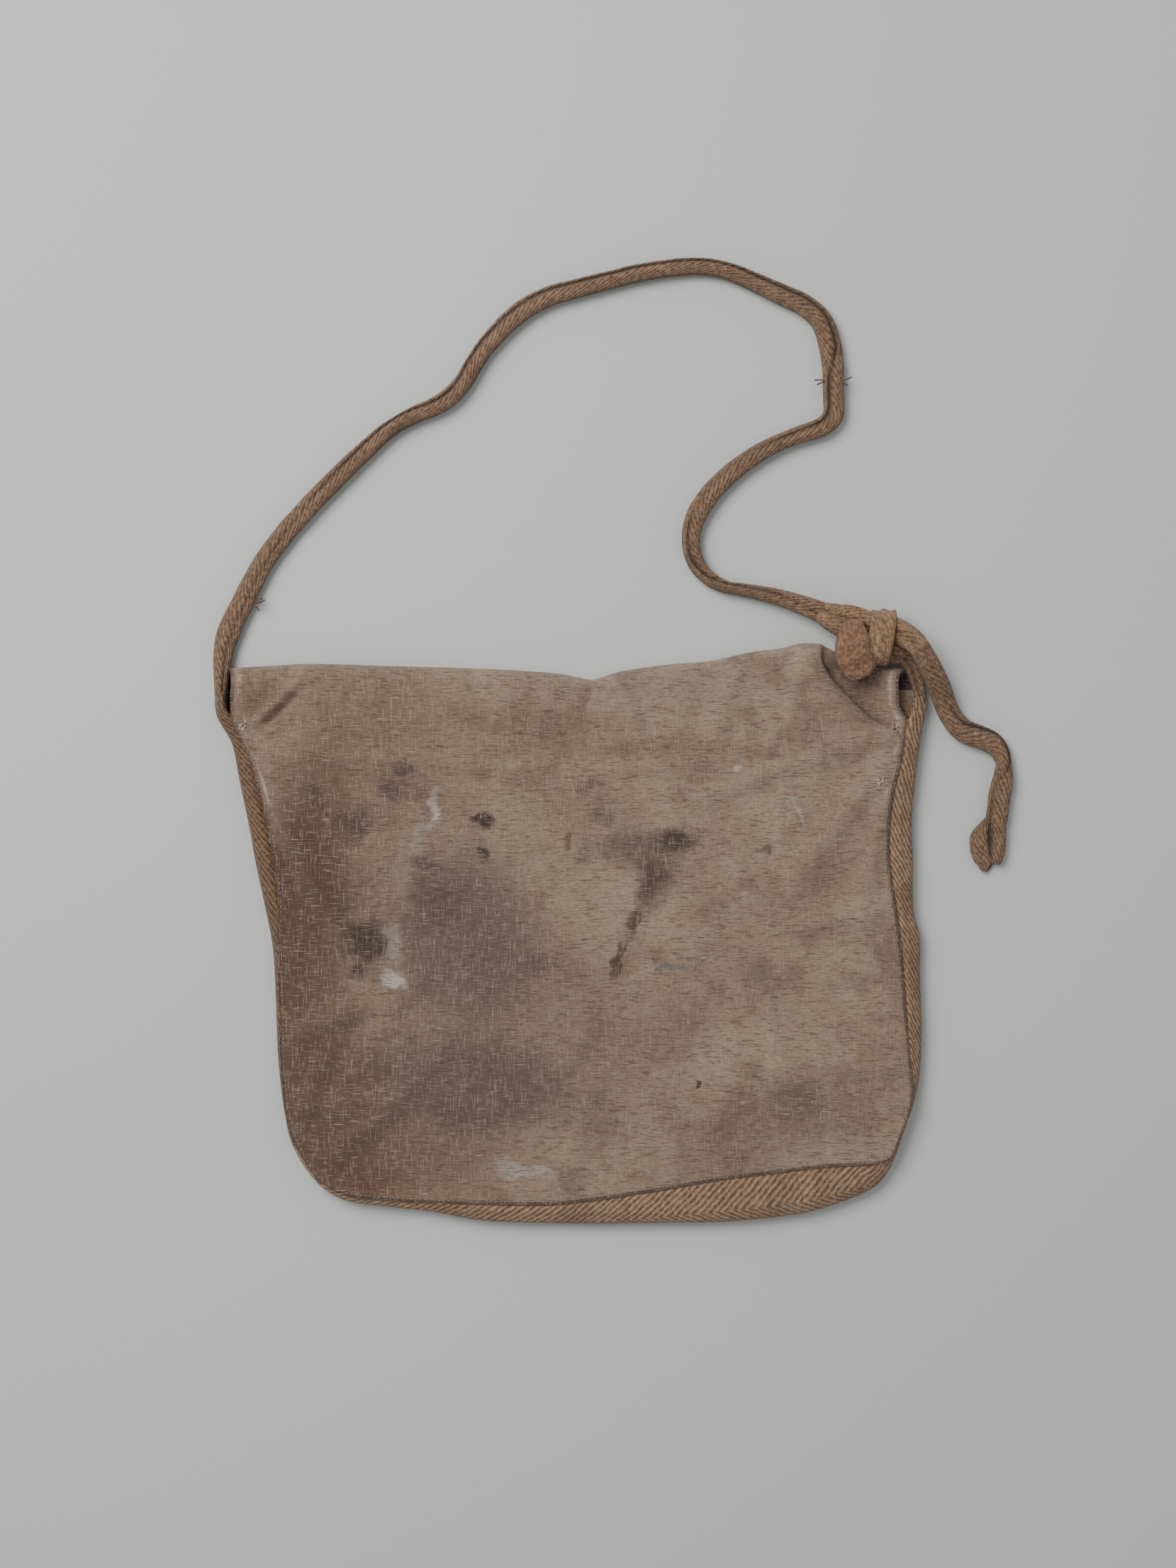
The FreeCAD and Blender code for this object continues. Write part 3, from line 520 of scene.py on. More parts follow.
# %% Outline
LEFT_RIM = [
    ((-212.6, 150), (-209.0, 150)), ((-213.2, 143), (-208.2, 140)), ((-212, 136), (-201.0, 131)),
    ((-209.3, 130.5), (-197.4, 125)),
    ((-202.5, 118), (-193.5, 115)), ((-197.8, 94), (-187.6, 94)), ((-193, 71.5), (-182, 72)),
    ((-188.5, 47), (-177.5, 47)), ((-183.4, 23), (-175.3, 25)), ((-179.1, 2), (-174.9, 1)),
    ((-177, -20), (-174.3, -25)), ((-175, -69), (-173.3, -69)), ((-171, -103), (-170.2, -102)),
    ((-165.5, -124), (-164, -122)), ((-152, -144), (-151, -142.5)),
]
BOTTOM_RIM = [
    ((-152, -144), (-151, -142.5)), ((-136, -154.5), (-134.5, -151.5)),
    ((-115, -158), (-114, -154)), ((-84, -161.5), (-84, -156)), ((-52, -167), (-52, -156.7)),
    ((-2, -168.7), (-5, -156.5)), ((57, -168.4), (50, -149)), ((97, -167.4), (88, -142.5)),
    ((138, -163), (127, -137.5)), ((165, -155), (156, -134.3)), ((183, -146.5), (182, -133)),
    ((193, -133), (193, -129)),
]
RIGHT_RIM = [
    ((193, -133), (193, -129)), ((200.5, -110), (199.5, -112)), ((206, -96), (205, -95)),
    ((209.5, -78), (204.3, -78)), ((210.5, -50), (201.8, -50)), ((209.5, -20), (199.4, -20)),
    ((209.5, 3), (197.3, 3)), ((205.5, 20), (194.6, 22)), ((205.3, 48), (191, 48)),
    ((204.7, 69), (191, 69)), ((206, 90), (193.4, 90)), ((209.3, 116.5), (198.3, 110)),
    ((211.5, 130), (200.4, 125.4)), ((212.9, 139), (205.0, 136)), ((213.2, 148), (209.0, 147)),
]
TOP_FOLD = [
    (-202.9, 164), (-180.4, 165.3), (-154.5, 166.6), (-106.9, 165.3), (-61.4, 164),
    (-41, 163.2), (-10.4, 161.1), (4, 158.6), (13, 157.2), (22, 159.6), (34.2, 162.8),
    (61.8, 166.6), (83.1, 168.3), (109.4, 173.8), (125.6, 175.9), (138.3, 178.9),
    (149, 178.4), (155.5, 176.6), (163, 171.0), (184.2, 165.6), (196.6, 163.6),
]
LEFT_HEM = [(-197.4, 125), (-202.3, 136.4), (-203.2, 150), (-202.9, 164)]
RIGHT_HEM = [(200.4, 125.4), (202.1, 138.1), (197.8, 148.8), (196.6, 163.6)]

left_seam = [seam for _, seam in LEFT_RIM[3:]]
bottom_seam = [seam for _, seam in BOTTOM_RIM]
right_seam = [seam for _, seam in RIGHT_RIM[:-2]]
# Closed the way a Coons patch wants it: left and right run up, bottom and top run right.
SIDE_STEPS = 400
patch_left = smooth_line(left_seam[::-1] + LEFT_HEM[1:], SIDE_STEPS)
patch_right = smooth_line(right_seam + RIGHT_HEM[1:], SIDE_STEPS)
patch_bottom = smooth_line(bottom_seam, SIDE_STEPS)
patch_top = smooth_line(TOP_FOLD, SIDE_STEPS)
print("left %.0f, right %.0f, bottom %.0f, top %.0f mm" % (
    line_length(patch_left), line_length(patch_right),
    line_length(patch_bottom), line_length(patch_top)))

# %% [markdown]
# ## The back panel
#
# One cloth from the bottom seam up to the mouth, round the roll at the top and back under it to
# the hinge line of the flap.  It lies at about 15 mm with slack folds that run out from the
# corners.  Each fold is a line with a height and a width; a negative height is a hollow.

# %% Folds
FOLDS = [
    # start, end, height, half width, all in mm
    ((-194, 122), (-120, -20), 5.0, 9.0),
    ((-196, 118), (-160, 20), -3.0, 6.0),
    ((-193, 124), (-186, 82), 2.6, 2.6),
    ((-190, 126), (-95, 58), 2.4, 7.0),
    ((-185, 114), (-2, 101), 1.8, 4.5),
    ((-2, 101), (200, 121), 1.5, 4.5),
    ((-192, 129.5), (-154.5, 161), 4.2, 2.9),
    ((-186, 128), (-160, 152.2), -3.4, 3.4),
    ((-190, 132), (-176, 160), -1.6, 4.0),
    ((197, 118), (120, 20), 3.4, 8.0),
    ((198, 112), (170, 10), 3.0, 6.0),
    ((190, 122), (60, 82), 2.4, 6.0),
    ((-178, -60), (-95, -30), 2.4, 7.0),
    ((-172, -100), (-60, -92), 2.8, 8.0),
    ((-150, -138), (-70, -60), 3.0, 7.0),
    ((-160, -118), (-110, -20), -2.4, 7.0),
    ((190, -126), (100, -60), 3.2, 8.0),
    ((150, -134), (110, -30), 2.4, 7.0),
    ((204, -78), (120, -66), 2.2, 7.0),
    ((200, -20), (140, -34), -1.8, 6.0),
    ((196, 20), (130, 10), 2.2, 7.0),
    ((-10, -150), (20, -70), 2.2, 8.0),
    ((60, -146), (66, -90), 2.0, 6.0),
    ((-60, 90), (40, 20), 1.6, 8.0),
    ((13, 158), (10, 118), -3.2, 5.0),
    ((28, 160), (44, 118), 2.2, 5.0),
    ((-4, 160), (-24, 122), 1.8, 5.0),
    ((-120, 160), (-112, 112), 1.8, 6.0),
    ((-60, 164), (-48, 128), -1.4, 5.0),
    ((100, 170), (84, 112), 2.2, 6.0),
    ((140, 176), (128, 126), 3.0, 5.0),
    ((-60, 40), (-30, -50), -1.8, 11.0),
    ((70, 60), (40, -20), -1.8, 8.0),
]
# The cloth laps over itself here: to the right of this line it lies lower.
LAP_LINE = [(147, 190), (150.2, 177.2), (151.9, 159.8), (165.1, 143.7), (180.4, 130.1),
            (191, 125.4), (204, 121)]


def fold_height(x, y):
    total = np.zeros_like(x)
    for (ax, ay), (bx, by), height, width in FOLDS:
        dx, dy = bx - ax, by - ay
        run = math.hypot(dx, dy)
        along = ((x - ax) * dx + (y - ay) * dy) / run ** 2
        sway = 0.16 * width * np.sin(along * 7.0 + ax)
        away = ((x - ax) * dy - (y - ay) * dx) / run + sway
        ends = smoothstep((along + 0.1) / 0.3) * smoothstep((1.1 - along) / 0.5)
        total += height * ends * np.exp(-(away / width) ** 2)
    return total


def slack(x, y):
    """Height of the lying cloth above its mean."""
    broad = 1.5 * lumps(x, y, 60.0, 1.5)
    fine = 0.9 * lumps(x + 0.5 * y, y, 22.0, 7.5) + 0.32 * lumps(x, y, 8.0, 2.5)
    return broad + fine + fold_height(x, y)


def lap(x, y):
    """Shift and drop of the cloth round the lap line."""
    line = smooth_line(LAP_LINE, 90)
    way = directions(line)
    gap = np.stack([x, y], 1)[:, None, :] - line[None, :, :]
    nearest = np.argmin((gap ** 2).sum(2), axis=1)
    picked = np.arange(len(x))
    way = way[nearest]
    gap = gap[picked, nearest]
    # Positive on the low side, which is on the left of the line's direction.
    away = -gap[:, 0] * way[:, 1] + gap[:, 1] * way[:, 0]
    share = nearest / (len(line) - 1.0)
    fade = smoothstep((share - 0.13) / 0.2) * smoothstep((0.98 - share) / 0.12)
    q = np.clip(away / 8.0, -1, 1)
    shift = -6.0 * np.sin(math.pi * q) * fade
    drop = -7.0 * smoothstep((q + 0.45) / 0.9) * fade
    recover = smoothstep((away - 8.0) / 24.0)
    drop *= 1.0 - 0.55 * recover
    lift = 2.2 * np.exp(-((away + 6.0) / 5.0) ** 2) * fade
    normal = np.stack([-way[:, 1], way[:, 0]], 1)
    return normal * shift[:, None], drop + lift


# %% Back panel
BACK_COLUMNS = 230
BACK_ROWS = 172
# The share of the cloth's length at which the roll begins, and at which it has turned under.
ROLL_SHARE = (0.835, 0.955)
# How high the flat cloth lies, and the line where it meets the flap.
SHEET_TOP = 15.3
HINGE_Y = 151.7
# The lower layer of the roll sticks out beyond the upper one, and shows in the roll's open ends.
UNDER_LEFT = 5.5
UNDER_RIGHT = 12.0


def on_patch(across, up):
    """A point of the flat patch between the four sides."""
    steps = np.linspace(0, 1, SIDE_STEPS)

    def at(line, share):
        return np.stack([np.interp(share, steps, line[:, k]) for k in (0, 1)], 1)

    a = across[:, None]
    u = up[:, None]
    sides = at(patch_left, up) * (1 - a) + at(patch_right, up) * a
    ends = at(patch_bottom, across) * (1 - u) + at(patch_top, across) * u
    corners = ((patch_bottom[0] * (1 - a) + patch_bottom[-1] * a) * (1 - u)
               + (patch_top[0] * (1 - a) + patch_top[-1] * a) * u)
    return sides + ends - corners


def place_back(across, along):
    first, second = ROLL_SHARE
    up = np.clip(along / first, 0, 1)
    flat = on_patch(across, up)
    top = on_patch(across, np.ones_like(across))
    reach = np.clip(top[:, 1] - HINGE_Y - 1.5, 3.0, 8.0)
    # The flat part stops where the roll begins.
    shorten = smoothstep((up - 0.75) / 0.25) * reach
    x = flat[:, 0].copy()
    y = flat[:, 1] - shorten
    z = SHEET_TOP + slack(x, y)
    edge = np.minimum.reduce([across * 380.0, (1 - across) * 380.0, up * 300.0])
    z = SHEET_TOP + (z - SHEET_TOP) * smoothstep(edge / 12.0)
    z -= 0.7 * (1 - smoothstep(edge / 2.0))
    shift, drop = lap(x, y)
    x += shift[:, 0]
    y += shift[:, 1]
    z += drop
    # Round the roll and along the floor to the hinge line.
    turn = np.clip((along - first) / (second - first), 0, 1) * math.pi
    rolling = along > first
    start_z = z
    radius = (start_z - 0.5) / 2
    y = np.where(rolling, y + reach * np.sin(turn), y)
    z = np.where(rolling, start_z - radius * (1 - np.cos(turn)), z)
    under = smoothstep(turn / math.pi)
    x += under * (UNDER_RIGHT * across ** 14 - UNDER_LEFT * (1 - across) ** 14)
    on = np.clip((along - second) / (1 - second), 0, 1)
    flat_out = along > second
    y = np.where(flat_out, y + (HINGE_Y - y) * on, y)
    return np.stack([x, y, z], 1)


back_cloth = grid_piece("back_cloth", BACK_COLUMNS, BACK_ROWS, place_back, BACK_SIZE)
thicken(back_cloth, 0.9)
finish_piece(back_cloth, STAINED_SHADED_CLOTH, 80)
print("back cloth: %d faces" % len(back_cloth.data.polygons))

# %% [markdown]
# ## The flap
#
# It is the same cloth, run on from the hinge line.  It lies flat under the bag, narrower at its
# free hem.

# %% Flap
FLAP_END = 10.7


def place_flap(across, along):
    y = HINGE_Y + (FLAP_END - HINGE_Y) * along
    left = -202.6 + 28.0 * smoothstep(along)
    right = 196.8 - 8.0 * along
    round_off = 18.0 * (1 - np.sqrt(1 - np.clip((along - 0.86) / 0.14, 0, 1) ** 2))
    x = left + round_off + (right - left - 2 * round_off) * across
    top = on_patch(across, np.ones_like(across))[:, 0]
    top = top + UNDER_RIGHT * across ** 14 - UNDER_LEFT * (1 - across) ** 14
    x = x + (top - x) * (1 - smoothstep(along / 0.22))
    z = 0.55 + 0.12 * lumps(x, y, 30.0, 4.0)
    return np.stack([x, y, z], 1)


flap_cloth = grid_piece("flap_cloth", 110, 50, place_flap, (395.0, 141.0))
thicken(flap_cloth, 0.9)
finish_piece(flap_cloth, CLOTH, 80)


# %% [markdown]
# ## The gusset
#
# The tape starts under the back panel's edge, bulges over the rim and comes back under the bag to
# the front panel.  At each place along the rim its section is one smooth line, 33 to 40 mm long,
# for a tape that is 40 mm wide.

# %% Gusset
TAPE_WIDTH = 40.0
FRONT_Z = 2.3


def gusset_piece(name, rim, rows, start, stop, material=TAPE, mouth=None):
    outer = smooth_line([place for place, _ in rim], 500)
    seam = smooth_line([place for _, place in rim], 500)
    share = np.linspace(0, 1, 500)

    def rail(line, along):
        want = start + (stop - start) * along
        return np.stack([np.interp(want, share, line[:, k]) for k in (0, 1)], 1)

    def place(across, along):
        out = rail(outer, along)
        inner = rail(seam, along)
        inward = inner - out
        shown = np.linalg.norm(inward, axis=1)
        inward = inward / np.maximum(shown, 0.01)[:, None]
        # A little of the tape goes on under the cloth's edge.
        shown = shown + 1.8
        points = []
        for width in np.unique(np.round(shown, 1)):
            bend = min(6.5, 0.75 * width)
            under = TAPE_WIDTH - (width - bend) - 19.0
            section = [(width, 12.0), (max(width - 3.5, bend + 0.5 * (width - bend)), 14.0),
                       (bend + 0.2 * (width - bend), 14.6), (bend, 14.0),
                       (bend * 0.28, 11.6), (0, 8.2), (1.4, 4.6), (5.5, FRONT_Z + 0.2),
                       (max(under, 9.0), FRONT_Z)]
            points.append((width, smooth_line(section, 81)))
        widths = np.array([w for w, _ in points])
        lines = np.array([line for _, line in points])
        row = np.clip(np.searchsorted(widths, np.round(shown, 1)), 0, len(widths) - 1)
        spot = across * 80.0
        low = np.floor(spot).astype(int).clip(0, 79)
        part = (spot - low)[:, None]
        local = lines[row, low] * (1 - part) + lines[row, low + 1] * part
        # Above the mouth the tape narrows towards the strap, so its lower leg is drawn in.
        if mouth is not None:
            from_mouth = along if mouth == "start" else 1 - along
            keep = np.clip(from_mouth / 0.07, 0.05, 1.0)
            reach = local[:, 0]
            local[:, 0] = np.where(reach > 6, 6 + (reach - 6) * keep, reach)
        flat = out + inward * local[:, :1]
        z = local[:, 1] + 0.35 * lumps(flat[:, 0], flat[:, 1], 16.0, 3.3)
        return np.column_stack([flat, z])

    length = line_length(outer) * (stop - start)
    piece = grid_piece(name, 48, rows, place, (TAPE_WIDTH, length))
    thicken(piece, 1.2)
    finish_piece(piece, material, 70)
    print("%s: %.0f mm of tape" % (name, length))
    return piece


gusset_left_tape = gusset_piece("gusset_left_tape", LEFT_RIM, 210, 0.0, 0.92, SHADED_TAPE,
                                mouth="start")
LOWER_RIM = LEFT_RIM[-3:-1] + BOTTOM_RIM + RIGHT_RIM[1:2]
gusset_bottom_tape = gusset_piece("gusset_bottom_tape", LOWER_RIM, 300, 0.05, 1.0)
gusset_right_tape = gusset_piece("gusset_right_tape", RIGHT_RIM, 210, 0.070, 1.0,
                                 mouth="end")

# %% [markdown]
# ## The strap
#
# The tape is folded lengthwise into a thick narrow band.  Its middle line is a NURBS curve
# through a short list of points, and its section is carried along that line: a flattened oval
# with a groove where the folded edge lies.  A list of stations gives the half width, the half
# thickness and the turn about the line, so that the band stands on edge where it is kinked.

# %% Folded tape along a line
def nurbs_line(points):
    """Dense points along one open NURBS curve."""
    carrier = curve_piece("route", "NURBS", [points])
    data = carrier.data
    data.resolution_u = 24
    data.splines[0].order_u = 3
    data.splines[0].use_endpoint_u = True
    bpy.context.view_layer.update()
    mesh = bpy.data.meshes.new_from_object(carrier)
    line = np.array([v.co[:] for v in mesh.vertices])
    bpy.data.objects.remove(carrier)
    bpy.data.meshes.remove(mesh)
    return line


def folded_tape(name, line, stations, rows, girth, material, groove=0.35, depth=1.4, ends=0.8,
                rough=0.25):
    """A closed band round a line in metres.

    stations: (share, half width, half height, turn), and, where the groove changes along the
    band, its place and depth.  girth: the tape's width once round, in mm.
    """
    table = np.array([(*s, groove, depth)[:6] if len(s) == 4 else s for s in stations], float)
    spine = even_line(line, rows + 1) / MM
    way = directions(spine)
    side = np.cross(way, (0.0, 0.0, 1.0))
    side /= np.linalg.norm(side, axis=1)[:, None]
    rise = np.cross(side, way)

    fold_shades = []

    def place(across, along):
        row = np.clip(np.round(along * rows).astype(int), 0, rows)
        half = np.interp(along, table[:, 0], table[:, 1])
        tall = np.interp(along, table[:, 0], table[:, 2])
        turn = np.radians(np.interp(along, table[:, 0], table[:, 3]))
        groove_at = np.interp(along, table[:, 0], table[:, 4])
        groove_depth = np.interp(along, table[:, 0], table[:, 5])
        angle = across * 2 * math.pi
        c, s = np.cos(angle), np.sin(angle)
        w = half * np.sign(c) * np.abs(c) ** 0.75
        h = tall * np.sign(s) * np.abs(s) ** 0.8
        # The folded edge: a groove on the upper face, and a lower step beyond it.
        upper = s > 0
        spot = w / half
        away = (spot - groove_at) / 0.15
        h = h - np.where(upper, groove_depth * np.exp(-away ** 2), 0.0)
        beyond = (spot - groove_at) * np.sign(groove_at) > 0
        h = h - np.where(upper & beyond, 0.22 * tall, 0.0)
        # Painted shade for the tape's material: strong in the groove, weaker along the band's
        # sides.
        fold_shade = np.exp(-((spot - groove_at) / 0.17) ** 2) * np.clip(groove_depth / 2.4, 0, 1)
        fold_shades.append(np.where(upper, fold_shade, 0.0) + 0.6 * (np.abs(s) < 0.25) * (s < 0.2))
        h = h + rough * lumps(along * line_length(line) / MM + 4.0 * s, 9.0 * c, 6.0, 5.1)
        w = w + rough * lumps(along * line_length(line) / MM, 6.0 * s, 9.0, 8.1)
        cap = np.minimum(along, 1 - along) * rows
        shrink = np.where(cap < 1, ends, 1.0)
        w, h = w * shrink, h * shrink
        wide = w * np.cos(turn) - h * np.sin(turn)
        high = w * np.sin(turn) + h * np.cos(turn)
        return spine[row] + side[row] * wide[:, None] + rise[row] * high[:, None]

    piece = grid_piece(name, 40, rows, place, (girth, line_length(line) / MM))
    # Painted shade: how deep in a fold each point is, and the band's sides; the tape's material is
    # darkened there.
    fold_shade_layer = piece.data.attributes.new("fold_shade", "FLOAT", "POINT")
    fold_shade_layer.data.foreach_set("value", fold_shades[-1].astype(np.float32))
    weld(piece, fill=True)
    return finish_piece(piece, material, 50)


# %% Strap, right leg and tail
STRAP_ROUTE = [
    (-209.5, 138.5, 8.0), (-210.5, 158.0, 6.8), (-208.5, 181.0, 6.3), (-198.0, 203.0, 6.3),
    (-184.0, 231.0, 6.3), (-160.0, 260.0, 6.3), (-131.0, 289.0, 6.3), (-104.0, 314.0, 6.3),
    (-70.0, 326.0, 6.3), (-53.0, 358.0, 6.3), (-24.0, 386.0, 6.3), (14.0, 396.0, 6.3),
    (50.0, 405.0, 6.3), (87.0, 408.0, 6.3), (120.0, 393.0, 6.3), (151.0, 379.0, 6.3),
    (158.0, 353.0, 6.3), (158.5, 330.0, 6.3), (159.0, 311.0, 6.3), (129.0, 303.0, 6.3),
    (98.0, 285.0, 6.3), (74.0, 258.0, 6.3), (71.5, 232.0, 6.3), (86.0, 214.5, 6.3),
    (112.0, 210.5, 6.3), (134.0, 205.0, 8.5), (152.0, 197.0, 12.5),
]
LEG_ROUTE = [
    (193.7, 177.6, 10.5), (203.5, 170.5, 7.0), (208.5, 159.0, 5.6), (211.0, 148.0, 6.0),
    (212.5, 138.8, 8.0),
]
TAIL_ROUTE = [
    (206.5, 178.0, 21.5), (213.5, 167.5, 19.0), (221.0, 154.0, 12.5), (226.5, 140.0, 6.6),
    (234.5, 127.5, 5.8), (246.0, 123.5, 5.8), (256.5, 119.0, 5.8), (261.5, 109.0, 5.8),
    (260.5, 96.0, 5.8), (257.5, 84.0, 5.8), (256.8, 71.0, 5.8),
]
STRAP_STATIONS = [
    # share, half width, half height, turn, groove's place, its depth
    (0.000, 3.0, 5.2, 4, 0.4, 1.2), (0.020, 4.1, 5.4, 4, 0.4, 1.2),
    (0.060, 7.0, 4.0, 0, 0.3, 0.8), (0.120, 6.2, 4.2, 0, 0.3, 0.8),
    (0.220, 6.0, 4.3, 0, -0.4, 1.6), (0.270, 5.0, 4.8, 20, -0.4, 2.2),
    (0.310, 5.8, 4.4, 0, -0.4, 2.0), (0.350, 5.6, 4.6, 12, -0.45, 2.4),
    (0.400, 6.3, 4.2, 0, -0.45, 2.0), (0.480, 5.6, 4.4, 10, -0.45, 2.8),
    (0.560, 5.2, 4.9, 15, -0.40, 3.4), (0.610, 6.4, 4.1, 0, -0.50, 3.2),
    (0.670, 6.9, 4.0, 0, -0.45, 2.6), (0.690, 6.4, 4.2, 0, 0.35, 2.4),
    (0.720, 6.3, 4.2, 0, 0.50, 2.4), (0.760, 5.0, 4.8, 14, 0.4, 1.6),
    (0.790, 5.6, 4.5, 0, 0.3, 0.6), (0.850, 6.3, 4.1, 0, 0.3, 0.6),
    (0.890, 4.9, 4.9, 20, 0.5, 2.4), (0.925, 3.6, 5.5, 6, -0.3, 2.2),
    (0.955, 4.7, 4.8, 0, -0.3, 1.4), (1.000, 6.4, 4.5, 0, 0.3, 1.2),
]
strap_line = nurbs_line(STRAP_ROUTE)
strap_cord = folded_tape("strap_cord", strap_line, STRAP_STATIONS, 640, 36.0, STRAP_TAPE)
leg_line = nurbs_line(LEG_ROUTE)
leg_cord = folded_tape("strap_leg_cord", leg_line, [
    (0.0, 6.5, 3.8, 20), (0.4, 4.6, 4.2, 10), (0.75, 3.6, 4.6, 0), (1.0, 1.8, 4.2, 0),
], 60, 32.0, STRAP_TAPE)
tail_line = nurbs_line(TAIL_ROUTE)
tail_cord = folded_tape("tail_cord", tail_line, [
    (0.00, 6.4, 4.4, 0, -0.2, 0.5), (0.25, 6.9, 3.8, 0, 0.1, 0.5),
    (0.38, 6.7, 3.6, 0, -0.3, 1.6), (0.50, 7.2, 3.6, 0, -0.6, 2.6),
    (0.62, 6.8, 3.8, 6, -0.8, 2.6), (0.72, 4.7, 4.4, 0, -0.7, 1.8),
    (0.82, 6.6, 3.8, 0, 0.6, 0.8), (1.00, 6.6, 3.8, 0, 0.6, 1.8),
], 130, 34.0, STRAP_TAPE)
print("strap %.0f, leg %.0f, tail %.0f mm" % tuple(
    line_length(line) / MM for line in (strap_line, leg_line, tail_line)))

# %% [markdown]
# ## The tail's turned-over end
#
# The last of the tape is unfolded a little and turned over, so it is wider than the tail: a band
# on the outside and a wedge on the side of the bag.

# %% Tail end
tail_end_line = np.array([(256.9, 77.0, 5.6), (257.4, 66.0, 5.4), (257.4, 56.0, 5.0),
                          (256.2, 46.5, 4.4)]) * MM
tail_end_band = folded_tape("tail_end_band", smooth_line(tail_end_line, 30), [
    (0.0, 6.2, 3.7, 0), (0.3, 5.0, 3.8, 0), (0.8, 4.7, 3.6, 0), (1.0, 3.2, 2.6, 0)],
    36, 32.0, STRAP_TAPE, groove=0.8, depth=2.4)
wedge_line = np.array([(252.5, 75.0, 3.2), (249.6, 68.5, 3.0), (247.4, 62.0, 3.0),
                       (248.2, 54.0, 3.0), (250.2, 47.5, 3.0), (249.6, 42.0, 2.8)]) * MM
tail_end_wedge = folded_tape("tail_end_wedge", smooth_line(wedge_line, 30), [
    (0.0, 1.2, 1.8, 0), (0.2, 3.8, 2.4, 0), (0.38, 6.2, 2.5, 0), (0.6, 6.6, 2.5, 0),
    (0.82, 6.0, 2.3, 0), (1.0, 2.0, 1.6, 0)], 36, 32.0, STRAP_TAPE, groove=-0.8, depth=1.2)

# %% [markdown]
# ## The knot
#
# The strap widens into the knot, one turn of tape goes round it, and the leg and the tail leave
# on the far side.  The frayed end comes out over the entry and lies on the bag.

# %% Knot
def smooth_path(points, count=60):
    return smooth_line(points, count) * MM


knot_entry_band = folded_tape("knot_entry_band", smooth_path([
    (149, 198.3, 12.0), (158, 194.5, 12.5), (168, 190.5, 12.5), (180, 185.5, 12.5),
    (186, 183.0, 12.5)]), [
    (0.0, 6.0, 4.6, 0), (0.2, 8.4, 6.2, 0), (0.45, 10.0, 8.0, 0), (1.0, 9.6, 8.0, 0)],
    40, 44.0, KNOT_TAPE, groove=-0.15, depth=1.6)
knot_over_band = folded_tape("knot_over_band", smooth_path([
    (155, 197.5, 15.5), (163, 197.0, 17.8), (173, 194.0, 18.6), (183, 188.5, 17.5)]), [
    (0.0, 2.6, 2.2, 0), (0.25, 5.0, 3.0, 0), (0.7, 6.2, 3.2, 0), (1.0, 5.4, 3.0, 0)],
    34, 34.0, KNOT_TAPE, groove=0.5, depth=0.9)

# The turn of tape is a wide flat band round the axis of the knot, all in mm.
TURN_MIDDLE = (184.8, 182.2, 14.0)
TURN_REACH = (14.6, 10.9)
TURN_WIDTH = 15.5
TURN_HALF_THICKNESS = 1.9


def place_turn(across, along):
    angle = along * 2 * math.pi
    ring = across * 2 * math.pi
    w = TURN_WIDTH / 2 * np.sign(np.cos(ring)) * np.abs(np.cos(ring)) ** 0.6
    h = TURN_HALF_THICKNESS * np.sign(np.sin(ring)) * np.abs(np.sin(ring)) ** 0.7
    out = 1.0 + (h + 0.5 * np.cos(w * 0.9)) / 11.0
    y = TURN_REACH[0] * np.sin(angle) * out
    z = TURN_MIDDLE[2] + TURN_REACH[1] * np.cos(angle) * out
    # The band leans a little to the right as it goes away from the bag.
    x = TURN_MIDDLE[0] + w + 0.16 * y
    z = z + 0.4 * lumps(w, 20.0 * np.sin(angle) + 5.0 * np.sin(ring), 5.0, 6.2)
    return np.stack([x, TURN_MIDDLE[1] + y, z], 1)


knot_turn_band = grid_piece("knot_turn_band", 32, 90, place_turn, (36.0, 78.0))
weld(knot_turn_band)
finish_piece(knot_turn_band, KNOT_TAPE, 60)
knot_exit_band = folded_tape("knot_exit_band", smooth_path([
    (181, 188.5, 13.0), (190, 188.0, 16.0), (199, 184.0, 19.8), (205.5, 178.8, 21.0),
    (209, 173.5, 20.3)]), [
    (0.0, 7.5, 6.0, 0), (0.5, 7.4, 5.6, 0), (0.8, 6.7, 4.7, 0), (1.0, 6.0, 4.0, 0)],
    34, 40.0, KNOT_TAPE, groove=0.1, depth=1.4)
knot_heart_band = folded_tape("knot_heart_band", smooth_path([
    (176, 184.0, 11.0), (187, 179.0, 10.5), (199, 170.5, 8.0)]), [
    (0.0, 8.0, 8.0, 0), (0.6, 8.5, 8.0, 0), (1.0, 6.0, 5.0, 0)],
    24, 40.0, KNOT_TAPE, groove=0.1, depth=1.0)
frayed_band = folded_tape("frayed_band", smooth_path([
    (170.0, 191.8, 21.0), (168.6, 184.0, 23.5), (169.0, 174.5, 23.0), (171.6, 167.0, 21.5),
    (173.6, 161.5, 20.0), (174.8, 158.8, 19.0)]), [
    (0.0, 4.4, 4.0, 0), (0.2, 9.0, 5.0, 0), (0.42, 11.6, 5.6, 5), (0.66, 11.6, 5.2, 0),
    (0.88, 9.8, 4.2, -8), (1.0, 7.4, 3.0, -8)], 60, 46.0, FRAYED, groove=-0.85, depth=0.5,
    rough=1.3)

# %% [markdown]
# Loose fibres stick out of the frayed end.  Each one is a thin line that bends a little; they
# are made as bevelled curves and joined into one mesh.

